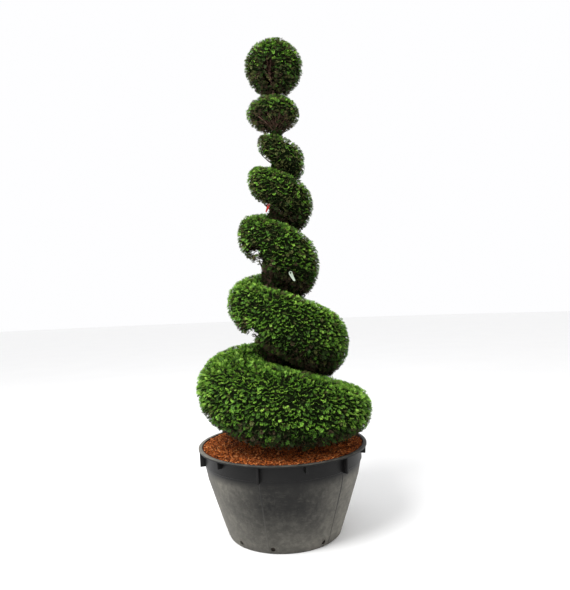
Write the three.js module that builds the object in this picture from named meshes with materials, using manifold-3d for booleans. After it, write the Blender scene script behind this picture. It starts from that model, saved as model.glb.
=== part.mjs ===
// A spiral-clipped yew, about 3.7 m tall with its tub: a leaning trunk, a ramp of clipped foliage that
// climbs round it five times and two clipped balls on top. It stands in a wide black nursery tub filled
// with its root ball and a bed of bark mulch. Millimetres, +Z up, the front looks along -Y, and the
// origin is the middle of the tub's underside.
import * as THREE from "three";
import { mergeVertices } from "three/addons/utils/BufferGeometryUtils.js";
import Module from "manifold-3d";

const wasm = await Module();
wasm.setup();

const GAP = 0.3; // left between neighbouring solids

// The tub: a tapering wall, an upright band that flares out under the lip, ribs and drain holes.
const TUB = {
  baseRadius: 405,
  footRadius: 461,
  footHeight: 155,
  waistRadius: 549,
  waistHeight: 410,
  shoulderRadius: 571,
  shoulderHeight: 507,
  bandRadius: 576,
  flareHeight: 590,
  flareRadius: 598,
  lipUnderside: 606,
  lipRadius: 617,
  height: 618,
  wall: 6,
  floor: 8,
  sides: 36,
};
const RIB = { count: 12, firstAngle: -75, width: 15, reach: 613, tall: 104, short: 48 };
const DRAIN = { angles: [-45, -11, 38, 135, 169, -142], radius: 16, height: 35 };
const BED = { depth: 56, rimDrop: 7, seatRadius: 95, seatHeight: 616, bumps: 6 };

// The trunk from its flat cut on the bed to its fork: x, y, height and radius.
const TRUNK = [
  [0, 0, BED.seatHeight + GAP, 52],
  [-8, 2, 760, 49],
  [-40, 8, 1000, 46],
  [-78, 0, 1330, 42],
  [-72, -6, 1620, 38],
  [-52, -4, 1900, 35],
  [4, 4, 2310, 27],
  [30, 0, 2720, 22],
  [28, 0, 2990, 18],
  [24, -15, 3250, 15],
  [12, -35, 3350, 14],
  [-8, -45, 3430, 13],
];
const TRUNK_SIDES = 10;
const RINGS_PER_ROW = 2;
const FLARE = { reach: 24, height: 45, lobes: 5, depth: 0.35, rings: [12, 36, 80] };

// The ramp, row by row: its reach from the axis, middle height and half thickness where it passes the
// right side (rows 1, 3, 5 ...) and the left side (rows 2, 4, 6 ...). The first and last rows lie
// past its two ends. Half-turn 0 is at the right, and half-turns run clockwise seen from above.
const RAMP = [
  [615, 655, 145],
  [640, 845, 200],
  [650, 1040, 260],
  [500, 1335, 240],
  [410, 1660, 185],
  [300, 1920, 190],
  [325, 2165, 175],
  [270, 2390, 148],
  [235, 2590, 135],
  [217, 2725, 130],
  [145, 2890, 86],
  [70, 3055, 45],
];
const RAMP_AXIS = 30; // the ramp's axis stands this far to the right of the tub's
const RAMP_START = -0.55;
const RAMP_END = 9.4;
const RAMP_ROUND = 0.35; // half-turns in which each end swells to its full section
const RAMP_INNER = 20; // radius of the inner edge
const SECTION_POWER = 2.25; // 2 is an ellipse, more is squarer
const BACK_THIN = 0.08;
const BACK_DROP = 0.14;
const FRONT_FULL = 0.135;
const LOWEST_LEAF = 625;

const BALLS = {
  ball_lower: {
    centre: new THREE.Vector3(12, 0, 3129),
    radii: new THREE.Vector3(211, 211, 146),
    pocket: new THREE.Vector3(-4, -135, 3035),
    pocketRadii: new THREE.Vector3(125, 112, 72),
    limbs: [
      { from: 2972, to: new THREE.Vector3(-0.8, 0.1, 0.55) },
      { from: 3014, to: new THREE.Vector3(-0.2, 0.3, 0.92) },
      { from: 2992, to: new THREE.Vector3(0.6, 0.2, 0.75) },
    ],
    limbRadius: 8,
  },
  ball_top: {
    centre: new THREE.Vector3(29, 0, 3507),
    radii: new THREE.Vector3(232, 232, 230),
    pocket: new THREE.Vector3(-6, -150, 3425),
    pocketRadii: new THREE.Vector3(60, 128, 118),
    limbs: [
      { from: 3376, to: new THREE.Vector3(-0.75, 0.58, 0.36) },
      { from: 3426, to: new THREE.Vector3(0.25, 0.6, 0.76) },
    ],
    limbRadius: 9,
  },
};

// Boughs and the stems that carry on from them into a mass.
const BOUGH = { share: 0.3, taper: 0.65, steps: 4, sides: 6 }; // share of the trunk's radius
const BOUGH_FROM_LEFT = 0.2; // half-turns before and after the left side where the boughs rise
const STEM = { steps: 3, taper: 0.8, fork: 0.35 }; // fork: share of its length where its twigs leave it
const TWIG = { count: 3, radius: 5, taper: 0.6, apart: 0.09 };
const LIMB_TURN = 0.2; // turns a limb's section, in sides, so that its edges don't lie along the trunk's
const LIMB_CLEAR = 12; // foliage keeps this far from trunk and boughs

// A clipped mass: a solid core below the clipped surface, and sprays whose tips reach that surface.
const CORE = { share: 0.05, least: 7, sides: 14, steps: 8 }; // share: its depth for the half thickness
const BALL_CORE = { across: 16, up: 9, pocketAcross: 12, pocketUp: 7 };
const SPRAY = { length: 5, spacing: 7.4, width: 0.66, thick: 0.06 }; // first two in core depths
const LEAN = { least: 0.95, spread: 0.25, up: 1.4 }; // radians from the surface's normal, towards the light
const SUNK = 1.4; // least depth of a spray's root, in core depths
const CANDIDATES = 2600;
const UNDERSIDE_SHARE = 0.5; // of the sprays that face down, how many grow

// Loop labels: a flat blank strip with an eye that a bare twig goes through. The white one hangs under
// the third turn's front, the red one under the fourth's. The twig ends proud of the clipped surface.
const EYE = { outer: 17, inner: 11, arcs: 5 };
const LABEL_THICK = 1.2;
const HOOK_RADIUS = 4;
const HOOKED = 6; // from the twig's tip to the label
const LABELS = {
  white_label: {
    mass: "spiral_3_front",
    share: 0.409,
    angle: -0.875,
    proud: 0,
    heading: new THREE.Vector3(0.18, -0.95, -0.25).normalize(),
    strip: { length: 74, width: 20, swing: 14, turn: 0.3 },
  },
  red_label: {
    mass: "spiral_4_front",
    share: 0.62,
    angle: -1.15,
    proud: 12,
    heading: new THREE.Vector3(-0.1, -0.97, -0.2).normalize(),
    strip: { length: 66, width: 22, swing: 0, turn: -0.45 },
  },
};

const COLOURS = {
  tub: 0x2b2c2d,
  roots: 0x4a3426,
  bark_mulch: 0x8e4a2c,
  bark: 0x6e4a39,
  foliage: 0x2f4f22,
  red_label: 0xb0311f,
  white_label: 0xdfe4d8,
};

// Geometry helpers

// The same numbers each run: a linear congruential generator.
function seeded(seed) {
  let state = seed;
  return () => {
    state = (state * 1664525 + 1013904223) % 4294967296;
    return state / 4294967296;
  };
}

// Every column of the table at row position s, on a smooth curve through the rows.
function along(rows, s) {
  const i = THREE.MathUtils.clamp(Math.floor(s), 0, rows.length - 2);
  const f = s - i;
  const before = rows[Math.max(i - 1, 0)];
  const after = rows[Math.min(i + 2, rows.length - 1)];
  return rows[i].map((from, k) => {
    const to = rows[i + 1][k];
    const leave = (to - before[k]) / 2;
    const arrive = (after[k] - from) / 2;
    const cubic = 2 * from - 2 * to + leave + arrive;
    const square = 3 * to - 3 * from - 2 * leave - arrive;
    return ((cubic * f + square) * f + leave) * f + from;
  });
}

// A closed geometry as a solid with its faces pointing out.
function solid(geometry) {
  const bare = geometry.clone();
  bare.deleteAttribute("normal");
  bare.deleteAttribute("uv");
  const merged = mergeVertices(bare, 1e-3);
  const corners = [];
  for (let i = 0; i < merged.index.count; i += 3) {
    const [a, b, c] = [0, 1, 2].map((k) => merged.index.getX(i + k));
    if (a !== b && b !== c && c !== a) corners.push(a, b, c);
  }
  const make = (triVerts) =>
    new wasm.Manifold(
      new wasm.Mesh({ numProp: 3, vertProperties: merged.attributes.position.array, triVerts }),
    );
  const made = make(new Uint32Array(corners));
  return made.volume() < 0 ? make(new Uint32Array(corners.reverse())) : made;
}

// A closed solid through rings that hold the same number of points, flat at both ends.
function loft(rings) {
  const sides = rings[0].length;
  const faces = [];
  for (let r = 0; r + 1 < rings.length; r++) {
    for (let i = 0; i < sides; i++) {
      const a = r * sides + i;
      const b = r * sides + ((i + 1) % sides);
      faces.push(a, b, b + sides, a, b + sides, a + sides);
    }
  }
  const last = (rings.length - 1) * sides;
  for (let i = 1; i + 1 < sides; i++) {
    faces.push(0, i + 1, i, last, last + i, last + i + 1);
  }
  return solid(new THREE.BufferGeometry().setFromPoints(rings.flat()).setIndex(faces));
}

// A turned solid: outline points are radius and height, from the axis back to the axis.
function turned(outline, sides) {
  const points = outline.map(([radius, height]) => new THREE.Vector2(radius, height));
  return solid(new THREE.LatheGeometry(points, sides).rotateX(Math.PI / 2));
}

// A tapering round limb along a curve, cut square at both ends.
function limb(curve, steps, sides, startRadius, endRadius) {
  const frames = curve.computeFrenetFrames(steps, false);
  const rings = [];
  for (let i = 0; i <= steps; i++) {
    const centre = curve.getPointAt(i / steps);
    const radius = THREE.MathUtils.lerp(startRadius, endRadius, i / steps);
    const ring = [];
    for (let k = 0; k < sides; k++) {
      const angle = (2 * Math.PI * (k + LIMB_TURN)) / sides;
      const point = centre.clone();
      point.addScaledVector(frames.normals[i], radius * Math.cos(angle));
      point.addScaledVector(frames.binormals[i], radius * Math.sin(angle));
      ring.push(point);
    }
    rings.push(ring);
  }
  return loft(rings);
}

function bend(from, through, to) {
  return new THREE.QuadraticBezierCurve3(from, through, to);
}

function ellipsoid(centre, radii, across, up) {
  const ball = new THREE.SphereGeometry(1, across, up).rotateX(Math.PI / 2);
  return solid(ball.scale(radii.x, radii.y, radii.z).translate(centre.x, centre.y, centre.z));
}

const fused = (pieces) => pieces.reduce((whole, piece) => whole.add(piece));

// Horizontal direction at an angle from the front, turning to the right.
function fromFront(degrees) {
  const angle = THREE.MathUtils.degToRad(degrees);
  return new THREE.Vector3(Math.sin(angle), -Math.cos(angle), 0);
}

// Tub, root ball and bed

function wallInside(extra) {
  const { wall, floor } = TUB;
  return [
    [TUB.baseRadius - 5 - extra, floor + Math.min(extra, GAP)],
    [TUB.footRadius - wall - extra, TUB.footHeight + 3],
    [TUB.waistRadius - wall - extra, TUB.waistHeight + 2],
    [TUB.shoulderRadius - wall - extra, TUB.shoulderHeight - 3],
    [TUB.bandRadius - wall - extra, TUB.shoulderHeight + 5],
  ];
}

// Where the wall flares out inside: radius and height of both ends of the slope.
function flareInside(extra) {
  const { wall } = TUB;
  return [
    [TUB.bandRadius - wall - extra, TUB.flareHeight + 4],
    [TUB.flareRadius - wall - extra, TUB.lipUnderside + 4],
  ];
}

function makeTub() {
  const outside = [
    [0, 0],
    [TUB.baseRadius, 0],
    [TUB.footRadius, TUB.footHeight],
    [TUB.waistRadius, TUB.waistHeight],
    [TUB.shoulderRadius, TUB.shoulderHeight],
    [TUB.bandRadius, TUB.shoulderHeight + 4],
    [TUB.bandRadius, TUB.flareHeight],
    [TUB.flareRadius, TUB.lipUnderside],
    [TUB.lipRadius, TUB.lipUnderside],
    [TUB.lipRadius, TUB.height - 3],
    [TUB.lipRadius - 3, TUB.height],
    [TUB.flareRadius - TUB.wall, TUB.height],
    ...flareInside(0).reverse(),
  ];
  const inside = wallInside(0).reverse();
  let tub = turned([...outside, ...inside, [0, TUB.floor]], TUB.sides);
  const intoWall = TUB.wall / 2;
  const inner = TUB.bandRadius - intoWall;
  const room = [[0, TUB.floor], ...wallInside(-intoWall), ...flareInside(-intoWall), [0, TUB.height]];
  const ribs = Array.from({ length: RIB.count }, (_, i) => {
    const height = i % 2 ? RIB.short : RIB.tall;
    const rib = new THREE.BoxGeometry(RIB.width, RIB.reach - inner, height + 2);
    rib.translate(0, -(RIB.reach + inner) / 2, TUB.lipUnderside + 1 - height / 2);
    return solid(rib.rotateZ(THREE.MathUtils.degToRad(RIB.firstAngle + (360 / RIB.count) * i)));
  });
  tub = tub.add(fused(ribs).subtract(turned(room, TUB.sides)));
  for (const angle of DRAIN.angles) {
    const hole = new THREE.CylinderGeometry(DRAIN.radius, DRAIN.radius, 70, 10);
    hole.translate(0, -TUB.baseRadius - 10, DRAIN.height);
    hole.rotateZ(THREE.MathUtils.degToRad(angle));
    tub = tub.subtract(solid(hole));
  }
  return tub;
}

function makeRootBall() {
  const top = TUB.height - BED.depth - GAP;
  const radius = TUB.bandRadius - TUB.wall - 2 * GAP;
  return turned([[0, TUB.floor + GAP], ...wallInside(2 * GAP), [radius, top], [0, top]], TUB.sides);
}

// The bed of mulch: level with the lip, a little uneven, with a flat seat under the trunk.
function makeBed() {
  const random = seeded(11);
  const [[lowEdge, flareStart], [edge, flareEnd]] = flareInside(2 * GAP);
  const ring = (radius, height, bumps) =>
    Array.from({ length: TUB.sides }, (_, i) =>
      fromFront((360 / TUB.sides) * i)
        .multiplyScalar(radius)
        .setZ(height + bumps * (random() - 0.5)),
    );
  return loft([
    ring(lowEdge, TUB.height - BED.depth, 0),
    ring(lowEdge, flareStart, 0),
    ring(edge, flareEnd, 0),
    ring(edge, TUB.height - BED.rimDrop, 0),
    ring(0.9 * edge, BED.seatHeight - 2, BED.bumps),
    ring(0.65 * edge, BED.seatHeight - 1, 2 * BED.bumps),
    ring(0.38 * edge, BED.seatHeight, BED.bumps),
    ring(BED.seatRadius, BED.seatHeight, 0),
  ]);
}

// Trunk

function trunkRow(s) {
  const [x, y, z, radius] = along(TRUNK, s);
  return { centre: new THREE.Vector3(x, y, z), radius };
}

const trunkRows = Array.from({ length: RINGS_PER_ROW * (TRUNK.length - 1) + 1 }, (_, i) =>
  trunkRow(i / RINGS_PER_ROW),
);

// Centre and radius of the trunk at a height.
function trunkAt(height) {
  let i = 0;
  while (i + 2 < trunkRows.length && trunkRows[i + 1].centre.z < height) i++;
  const [low, high] = [trunkRows[i], trunkRows[i + 1]];
  const f = (height - low.centre.z) / (high.centre.z - low.centre.z);
  return {
    centre: low.centre.clone().lerp(high.centre, f),
    radius: THREE.MathUtils.lerp(low.radius, high.radius, f),
  };
}

// The trunk, or the room round it when extra is above nothing.
function makeTrunk(extra) {
  const foot = TRUNK[0][2];
  const flared = FLARE.rings.map((up) => trunkAt(foot + up));
  const rows = [trunkRows[0], ...flared, ...trunkRows.slice(1)];
  const rings = rows.map(({ centre, radius }) => {
    const flare = FLARE.reach * Math.exp((foot - centre.z) / FLARE.height);
    return Array.from({ length: TRUNK_SIDES }, (_, i) => {
      const angle = (2 * Math.PI * i) / TRUNK_SIDES;
      const lobe = 1 + FLARE.depth * Math.cos(FLARE.lobes * angle);
      const reach = radius + extra + flare * lobe;
      return new THREE.Vector3(reach * Math.cos(angle), reach * Math.sin(angle), 0).add(centre);
    });
  });
  if (extra > 0) {
    rings.unshift(rings[0].map((point) => point.clone().setZ(foot - extra)));
    rings.push(rings[rings.length - 1].map((point) => point.clone().setZ(point.z + extra)));
  }
  return loft(rings);
}

// Shapes of the clipped masses. A place on one is a share s of its way round and an angle u of its
// section; depth is measured inwards from the clipped surface. level is 1 on that surface.

const powerOf = (value) => Math.sign(value) * Math.abs(value) ** (2 / SECTION_POWER);

// The ramp's section at half-turn t.
function rampSection(t) {
  const [reach, middle, half] = along(RAMP, t + 1);
  const azimuth = -Math.PI * t;
  const back = Math.max(Math.sin(azimuth), 0) ** 2;
  const front = Math.max(-Math.sin(azimuth), 0) ** 2;
  const thick = half * (1 - BACK_THIN * back + FRONT_FULL * front);
  const fromEnd = Math.min(t - RAMP_START, RAMP_END - t) / RAMP_ROUND;
  const swell = Math.sqrt(1 - (1 - THREE.MathUtils.clamp(fromEnd, 0, 1)) ** 2);
  const width = (reach - RAMP_INNER) / 2;
  return {
    azimuth,
    width: width * Math.sqrt(swell),
    thick: thick * swell,
    radius: RAMP_INNER + width,
    height: Math.max(middle - BACK_DROP * thick * back, LOWEST_LEAF + thick),
    tilt: 0.032 * t - 0.01,
    level: RAMP_INNER + 1.6 * width,
    depth: CORE.share * half + CORE.least,
  };
}

function rampShape(start, end) {
  const turnAt = (s) => THREE.MathUtils.lerp(start, end, s);
  return {
    start,
    end,
    depthAt: (s) => rampSection(turnAt(s)).depth,
    middle(s) {
      const { azimuth, radius, height } = rampSection(turnAt(s));
      return new THREE.Vector3(RAMP_AXIS + radius * Math.cos(azimuth), radius * Math.sin(azimuth), height);
    },
    point(s, u, depth) {
      const part = rampSection(turnAt(s));
      const out = part.radius + Math.max(part.width - depth, 4) * powerOf(Math.cos(u));
      const up = Math.max(part.thick - depth, 4) * powerOf(Math.sin(u));
      const z = part.height + up + part.tilt * (out - part.level);
      return new THREE.Vector3(RAMP_AXIS + out * Math.cos(part.azimuth), out * Math.sin(part.azimuth), z);
    },
    // Over 1 also where the point is past the flat ends that part this mass from the next.
    level(point, depth = 0) {
      const out = Math.hypot(point.x - RAMP_AXIS, point.y);
      const turns = -Math.atan2(point.y, point.x - RAMP_AXIS) / Math.PI;
      const middle = (start + end) / 2;
      const t = turns + 2 * Math.round((middle - turns) / 2);
      const nearest = Math.min(t - start, end - t);
      if (t < RAMP_START || t > RAMP_END || Math.sin(Math.PI * nearest) * out < 2) return 9;
      const part = rampSection(t);
      const across = Math.abs(out - part.radius) / Math.max(part.width - depth, 1);
      const offset = point.z - part.height - part.tilt * (out - part.level);
      const rise = Math.abs(offset) / Math.max(part.thick - depth, 1);
      return across ** SECTION_POWER + rise ** SECTION_POWER;
    },
    core() {
      const steps = Math.round(CORE.steps * (end - start));
      const from = Math.max(start, RAMP_START + 0.06);
      const to = Math.min(end, RAMP_END - 0.08);
      const rings = [];
      for (let i = 0; i <= steps; i++) {
        const s = (THREE.MathUtils.lerp(from, to, i / steps) - start) / (end - start);
        const azimuth = -Math.PI * turnAt(s);
        const inwards = i === 0 ? GAP : i === steps ? -GAP : 0;
        const shift = new THREE.Vector3(Math.sin(azimuth), -Math.cos(azimuth), 0).multiplyScalar(inwards);
        const ring = [];
        for (let k = 0; k < CORE.sides; k++) {
          ring.push(this.point(s, (2 * Math.PI * k) / CORE.sides, this.depthAt(s)).add(shift));
        }
        rings.push(ring);
      }
      return loft(rings);
    },
  };
}

function ballShape({ centre, radii, pocket, pocketRadii }) {
  const depth = CORE.share * radii.z + CORE.least;
  const inPocket = (point) => point.clone().sub(pocket).divide(pocketRadii).lengthSq() < 1;
  return {
    depthAt: () => depth,
    middle: () => centre,
    point(s, u, inwards) {
      const across = new THREE.Vector3(Math.cos(Math.PI * s), Math.sin(Math.PI * s), 0);
      const direction = across.multiplyScalar(Math.cos(u)).setZ(Math.sin(u));
      return radii.clone().subScalar(inwards).multiply(direction).add(centre);
    },
    // Over 1 also in the pocket, where the limbs show.
    level(point, inwards = 0) {
      if (inPocket(point)) return 9;
      return point.clone().sub(centre).divide(radii.clone().subScalar(inwards)).lengthSq();
    },
    core() {
      const whole = ellipsoid(centre, radii.clone().subScalar(depth), BALL_CORE.across, BALL_CORE.up);
      return whole.subtract(ellipsoid(pocket, pocketRadii, BALL_CORE.pocketAcross, BALL_CORE.pocketUp));
    },
  };
}

// Boughs

// One bough for each mass of the ramp: it leaves the trunk in the gap under the ramp, left of the axis,
// and rises into the ramp's underside at half-turn t.
function rampBough(t, shape) {
  const under = (turn, u) => rampShape(turn - 1, turn + 1).point(0.5, u, 0);
  const tip = under(t, -Math.PI / 2);
  const floor = t < 2 ? BED.seatHeight : under(t - 2, Math.PI / 2).z;
  const root = trunkAt(tip.z - 0.5 * (tip.z - floor)).centre;
  const elbow = root.clone().lerp(tip, 0.6).setZ(THREE.MathUtils.lerp(root.z, tip.z, 0.25));
  const place = (t - shape.start) / (shape.end - shape.start);
  const hold = shape.point(place, -Math.PI / 2, shape.depthAt(place) + 30);
  return { path: bend(root, elbow, tip), radius: BOUGH.share * trunkAt(root.z).radius, hold };
}

// A limb in a ball's pocket, from the trunk to the pocket's wall.
function pocketBough({ pocket, pocketRadii, limbRadius }, { from, to }) {
  const wall = (share) => to.clone().normalize().multiplyScalar(share).multiply(pocketRadii).add(pocket);
  const root = trunkAt(from).centre;
  const tip = wall(0.97);
  const elbow = root.clone().lerp(tip, 0.5);
  elbow.z += 0.12 * root.distanceTo(tip);
  return { path: bend(root, elbow, tip), radius: limbRadius, hold: wall(1.3) };
}

// A bough, or the room round it when extra is above nothing.
function makeBough({ path, radius }, extra) {
  return limb(path, BOUGH.steps, BOUGH.sides, radius + extra, BOUGH.taper * radius + extra);
}

// The stem that carries on from a bough's tip into its mass.
function makeStem({ path: bough, radius, hold }) {
  const heading = bough.getTangent(1);
  const foot = bough.getPoint(1).addScaledVector(heading, GAP);
  const elbow = foot.clone().addScaledVector(heading, 0.4 * foot.distanceTo(hold));
  const thick = BOUGH.taper * radius;
  const path = bend(foot, elbow, hold);
  const stem = limb(path, STEM.steps, BOUGH.sides, thick, STEM.taper * thick);
  return { stem, fork: path.getPoint(STEM.fork) };
}

// Foliage

// Whether a point keeps clear of the trunk and of every bough.
function clearOfLimbs(point, boughs) {
  const { centre, radius } = trunkAt(point.z);
  if (Math.hypot(point.x - centre.x, point.y - centre.y) < radius + LIMB_CLEAR) return false;
  return boughs.every(({ path, radius: thick }) =>
    path.getPoints(16).every((on) => on.distanceTo(point) > thick + LIMB_CLEAR / 2),
  );
}

// The outward normal of a mass's clipped surface.
function normalAt(shape, s, u) {
  const step = 0.01;
  const here = shape.point(s, u, 0);
  const onwards = shape.point(s + step, u, 0).sub(here);
  const around = shape.point(s, u + step, 0).sub(here);
  const normal = onwards.cross(around).normalize();
  return normal.dot(here.sub(shape.middle(s))) < 0 ? normal.negate() : normal;
}

// A spray: a toothed blade with a ridge on its upper face. Its points are shares of its length and width.
function sprayBlade(root, heading, across, length) {
  const place = (share, side) =>
    root
      .clone()
      .addScaledVector(heading, share * length)
      .addScaledVector(across, side * SPRAY.width * length);
  const rim = [place(0, 0), place(0.6, 0.5), place(0.68, 0.16), place(1, 0), place(0.52, -0.5)];
  const face = heading.clone().cross(across).normalize();
  const ridge = place(0.55, 0).addScaledVector(face, SPRAY.thick * length);
  const upper = rim.flatMap((_, i) => [i, (i + 1) % rim.length, rim.length]);
  const lower = [0, 4, 1, 1, 4, 2, 2, 4, 3];
  const geometry = new THREE.BufferGeometry().setFromPoints([...rim, ridge]).setIndex([...upper, ...lower]);
  return { rim, build: () => solid(geometry) };
}

// A direction that leans from a surface's normal towards the light by an angle.
function leaning(normal, sway, angle) {
  const light = new THREE.Vector3(Math.cos(2 * Math.PI * sway), Math.sin(2 * Math.PI * sway), LEAN.up);
  const rise = light.addScaledVector(normal, -light.dot(normal)).normalize();
  const heading = normal.clone().multiplyScalar(Math.cos(angle)).addScaledVector(rise, Math.sin(angle));
  return { heading, level: normal.clone().cross(rise) };
}

// Sprays spread evenly over the clipped surface, leaning up and outwards, their roots in the core. Where
// the surface is tightly curved a spray stands up straighter, so that its root still reaches the core.
function makeSprays(shape, random, boughs, keepOut) {
  const tips = [];
  const blades = [];
  for (let i = 0; i < CANDIDATES; i++) {
    const [s, u, sway, lean, roll] = [random(), 2 * Math.PI * random(), random(), random(), random()];
    const depth = shape.depthAt(s);
    const length = SPRAY.length * depth;
    const tip = shape.point(s, u, 2 + 0.03 * length);
    if (tips.some((other) => other.distanceTo(tip) < SPRAY.spacing * depth)) continue;
    tips.push(tip);
    const normal = normalAt(shape, s, u);
    if (normal.z < -0.4 && roll > UNDERSIDE_SHARE) continue;
    const full = LEAN.least + LEAN.spread * lean;
    for (const angle of [full, 0.7 * full, 0.4 * full]) {
      const { heading, level } = leaning(normal, sway, angle);
      const across = level.applyAxisAngle(heading, 0.9 * (roll - 0.5));
      const blade = sprayBlade(tip.clone().addScaledVector(heading, -length), heading, across, length);
      const rooted = shape.level(blade.rim[0], SUNK * depth) < 1;
      if (rooted && blade.rim.every((p) => shape.level(p) < 1 && clearOfLimbs(p, boughs) && !keepOut(p))) {
        blades.push(blade.build());
        break;
      }
    }
  }
  return blades;
}

// Bare twigs that fork from a stem and run along under the core before they enter it.
function makeTwigs(shape, random, fork, s, u) {
  const depth = shape.depthAt(s);
  const twigs = [];
  for (let i = 0; i < TWIG.count; i++) {
    const turn = (i - (TWIG.count - 1) / 2 + 0.3 * (random() - 0.5)) * TWIG.apart;
    const swing = 0.5 * (random() - 0.35);
    const elbow = shape.point(s + turn, u + swing, 0.3 * depth);
    const end = shape.point(s + 1.7 * turn, u + 1.6 * swing, 1.5 * depth);
    if (Math.max(shape.level(elbow), shape.level(end)) > 1) continue;
    twigs.push(limb(bend(fork, elbow, end), 2, 3, TWIG.radius, TWIG.taper * TWIG.radius));
  }
  return twigs;
}

const biggest = (made) =>
  made.decompose().reduce((best, piece) => (piece.volume() > best.volume() ? piece : best));

const trunkRoom = makeTrunk(LIMB_CLEAR);
const trunkGap = makeTrunk(GAP);

// Labels

// A blank loop label in its own plane: an eye at the origin and a strip below it that swings aside.
function labelOutline(length, width, swing) {
  const outline = new THREE.Shape();
  outline.absarc(0, 0, EYE.outer, -Math.PI / 3, (4 * Math.PI) / 3, false);
  const steps = 4;
  const edge = (side) =>
    Array.from({ length: steps + 1 }, (_, i) => {
      const down = i / steps;
      return [(side * width) / 2 + swing * down ** 2, -EYE.outer - (length - EYE.outer) * down];
    });
  for (const [x, y] of [...edge(-1), ...edge(1).reverse()]) outline.lineTo(x, y);
  const eye = new THREE.Path();
  eye.absarc(0, 0, EYE.inner, 0, 2 * Math.PI, true);
  outline.holes.push(eye);
  return outline;
}

// The label on a bare twig that passes through the eye, turned about the twig by an angle.
function makeLabel({ at, heading, strip: { length, width, swing, turn } }) {
  const strip = new THREE.ExtrudeGeometry(labelOutline(length, width, swing), {
    depth: LABEL_THICK,
    bevelEnabled: false,
    curveSegments: EYE.arcs,
  });
  const slack = EYE.inner * Math.cos(Math.PI / (2 * EYE.arcs)) - HOOK_RADIUS - GAP;
  strip.translate(0, -slack, -LABEL_THICK / 2).rotateZ(turn);
  const up = new THREE.Vector3(0, 0, 1).addScaledVector(heading, -heading.z).normalize();
  const basis = new THREE.Matrix4().makeBasis(up.clone().cross(heading), up, heading);
  return solid(strip.applyMatrix4(basis.setPosition(at)));
}

// Everything together

const masses = [{ name: "spiral_start", shape: rampShape(RAMP_START, 0), boughs: [] }];
for (let k = 0; k < 9; k++) {
  const side = k % 2 ? "back" : "front";
  const turn = Math.floor(k / 2) + 1;
  const shape = rampShape(k, k === 8 ? RAMP_END : k + 1);
  const t = k % 2 ? k + BOUGH_FROM_LEFT : k + 1 - BOUGH_FROM_LEFT;
  const bough = { name: `bough_${turn}_${side}`, t, ...rampBough(t, shape) };
  masses.push({ name: `spiral_${turn}_${side}`, shape, boughs: [bough] });
}
for (const [name, ball] of Object.entries(BALLS)) {
  const boughs = ball.limbs.map((ends, i) => ({
    name: `${name}_limb_${i + 1}`,
    ...pocketBough(ball, ends),
  }));
  masses.push({ name, shape: ballShape(ball), boughs });
}
const allBoughs = masses.flatMap(({ boughs }) => boughs);

const labels = Object.entries(LABELS).map(([name, label]) => {
  const { shape } = masses.find((mass) => mass.name === label.mass);
  const surface = shape.point(label.share, label.angle, 0);
  const tip = surface.clone().addScaledVector(label.heading, label.proud);
  const inside = -2.5 * shape.depthAt(label.share);
  const root = surface.clone().addScaledVector(label.heading, inside);
  return { name, ...label, root, tip, at: tip.clone().addScaledVector(label.heading, -HOOKED) };
});
const byLabel = (point) => labels.some(({ at, strip }) => at.distanceTo(point) < 0.6 * strip.length);

function makeMass({ name, shape, boughs }, seed) {
  const random = seeded(seed);
  const rooms = boughs.map((bough) => makeBough(bough, LIMB_CLEAR / 2));
  const core = [trunkRoom, ...rooms].reduce((left, room) => left.subtract(room), shape.core());
  const pieces = [biggest(core)];
  for (const bough of boughs) {
    const { stem, fork } = makeStem(bough);
    pieces.push(stem);
    if (bough.t) {
      const place = (bough.t - shape.start) / (shape.end - shape.start);
      pieces.push(...makeTwigs(shape, random, fork, place, -Math.PI / 2));
    }
  }
  if (name === "spiral_start") {
    const hold = shape.point(0.5, Math.PI, 2 * shape.depthAt(0.5));
    const root = trunkAt(hold.z - 30).centre;
    const stem = limb(new THREE.LineCurve3(root, hold), 2, 6, 14, 11);
    pieces.push(biggest(stem.subtract(trunkGap)));
  }
  for (const { root, tip } of labels.filter(({ mass }) => mass === name)) {
    pieces.push(limb(new THREE.LineCurve3(root, tip), 1, 6, HOOK_RADIUS, HOOK_RADIUS));
  }
  pieces.push(...makeSprays(shape, random, allBoughs, byLabel));
  return biggest(fused(pieces));
}

const plant = new THREE.Group();

function put(name, made, colour, roughness) {
  const { vertProperties, triVerts } = made.getMesh();
  const geometry = new THREE.BufferGeometry();
  geometry.setAttribute("position", new THREE.BufferAttribute(vertProperties, 3));
  geometry.setIndex(new THREE.BufferAttribute(triVerts, 1));
  geometry.computeVertexNormals();
  const material = new THREE.MeshStandardMaterial({ color: COLOURS[colour], roughness, metalness: 0 });
  const mesh = new THREE.Mesh(geometry, material);
  mesh.name = name;
  plant.add(mesh);
}

put("tub", makeTub(), "tub", 0.6);
put("root_ball", makeRootBall(), "roots", 0.95);
put("mulch_bed", makeBed(), "bark_mulch", 0.95);
put("trunk", makeTrunk(0), "bark", 0.85);
for (const bough of allBoughs) {
  put(bough.name, biggest(makeBough(bough, 0).subtract(trunkGap)), "bark", 0.85);
}
masses.forEach((mass, i) => put(mass.name, makeMass(mass, 101 + i), "foliage", 0.8));
for (const label of labels) put(label.name, makeLabel(label), label.name, 0.5);

export default plant;
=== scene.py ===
"""Finish of a spiral topiary in its nursery tub: needles, twigs, bark, mulch and moulded plastic.

Everything is in metres in the part's own frame: +Z up, the front looks along -Y and the origin is the
middle of the tub's underside. The clipped masses follow the same rules as the part's solids, carried to
finer twigs and to single needles.
"""

import math
from contextlib import contextmanager
from types import SimpleNamespace
from typing import NamedTuple

import bpy
import numpy as np
from bpy.props import FloatProperty, FloatVectorProperty, IntProperty, PointerProperty
from mathutils import Matrix, Vector, noise
from mathutils.kdtree import KDTree


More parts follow.
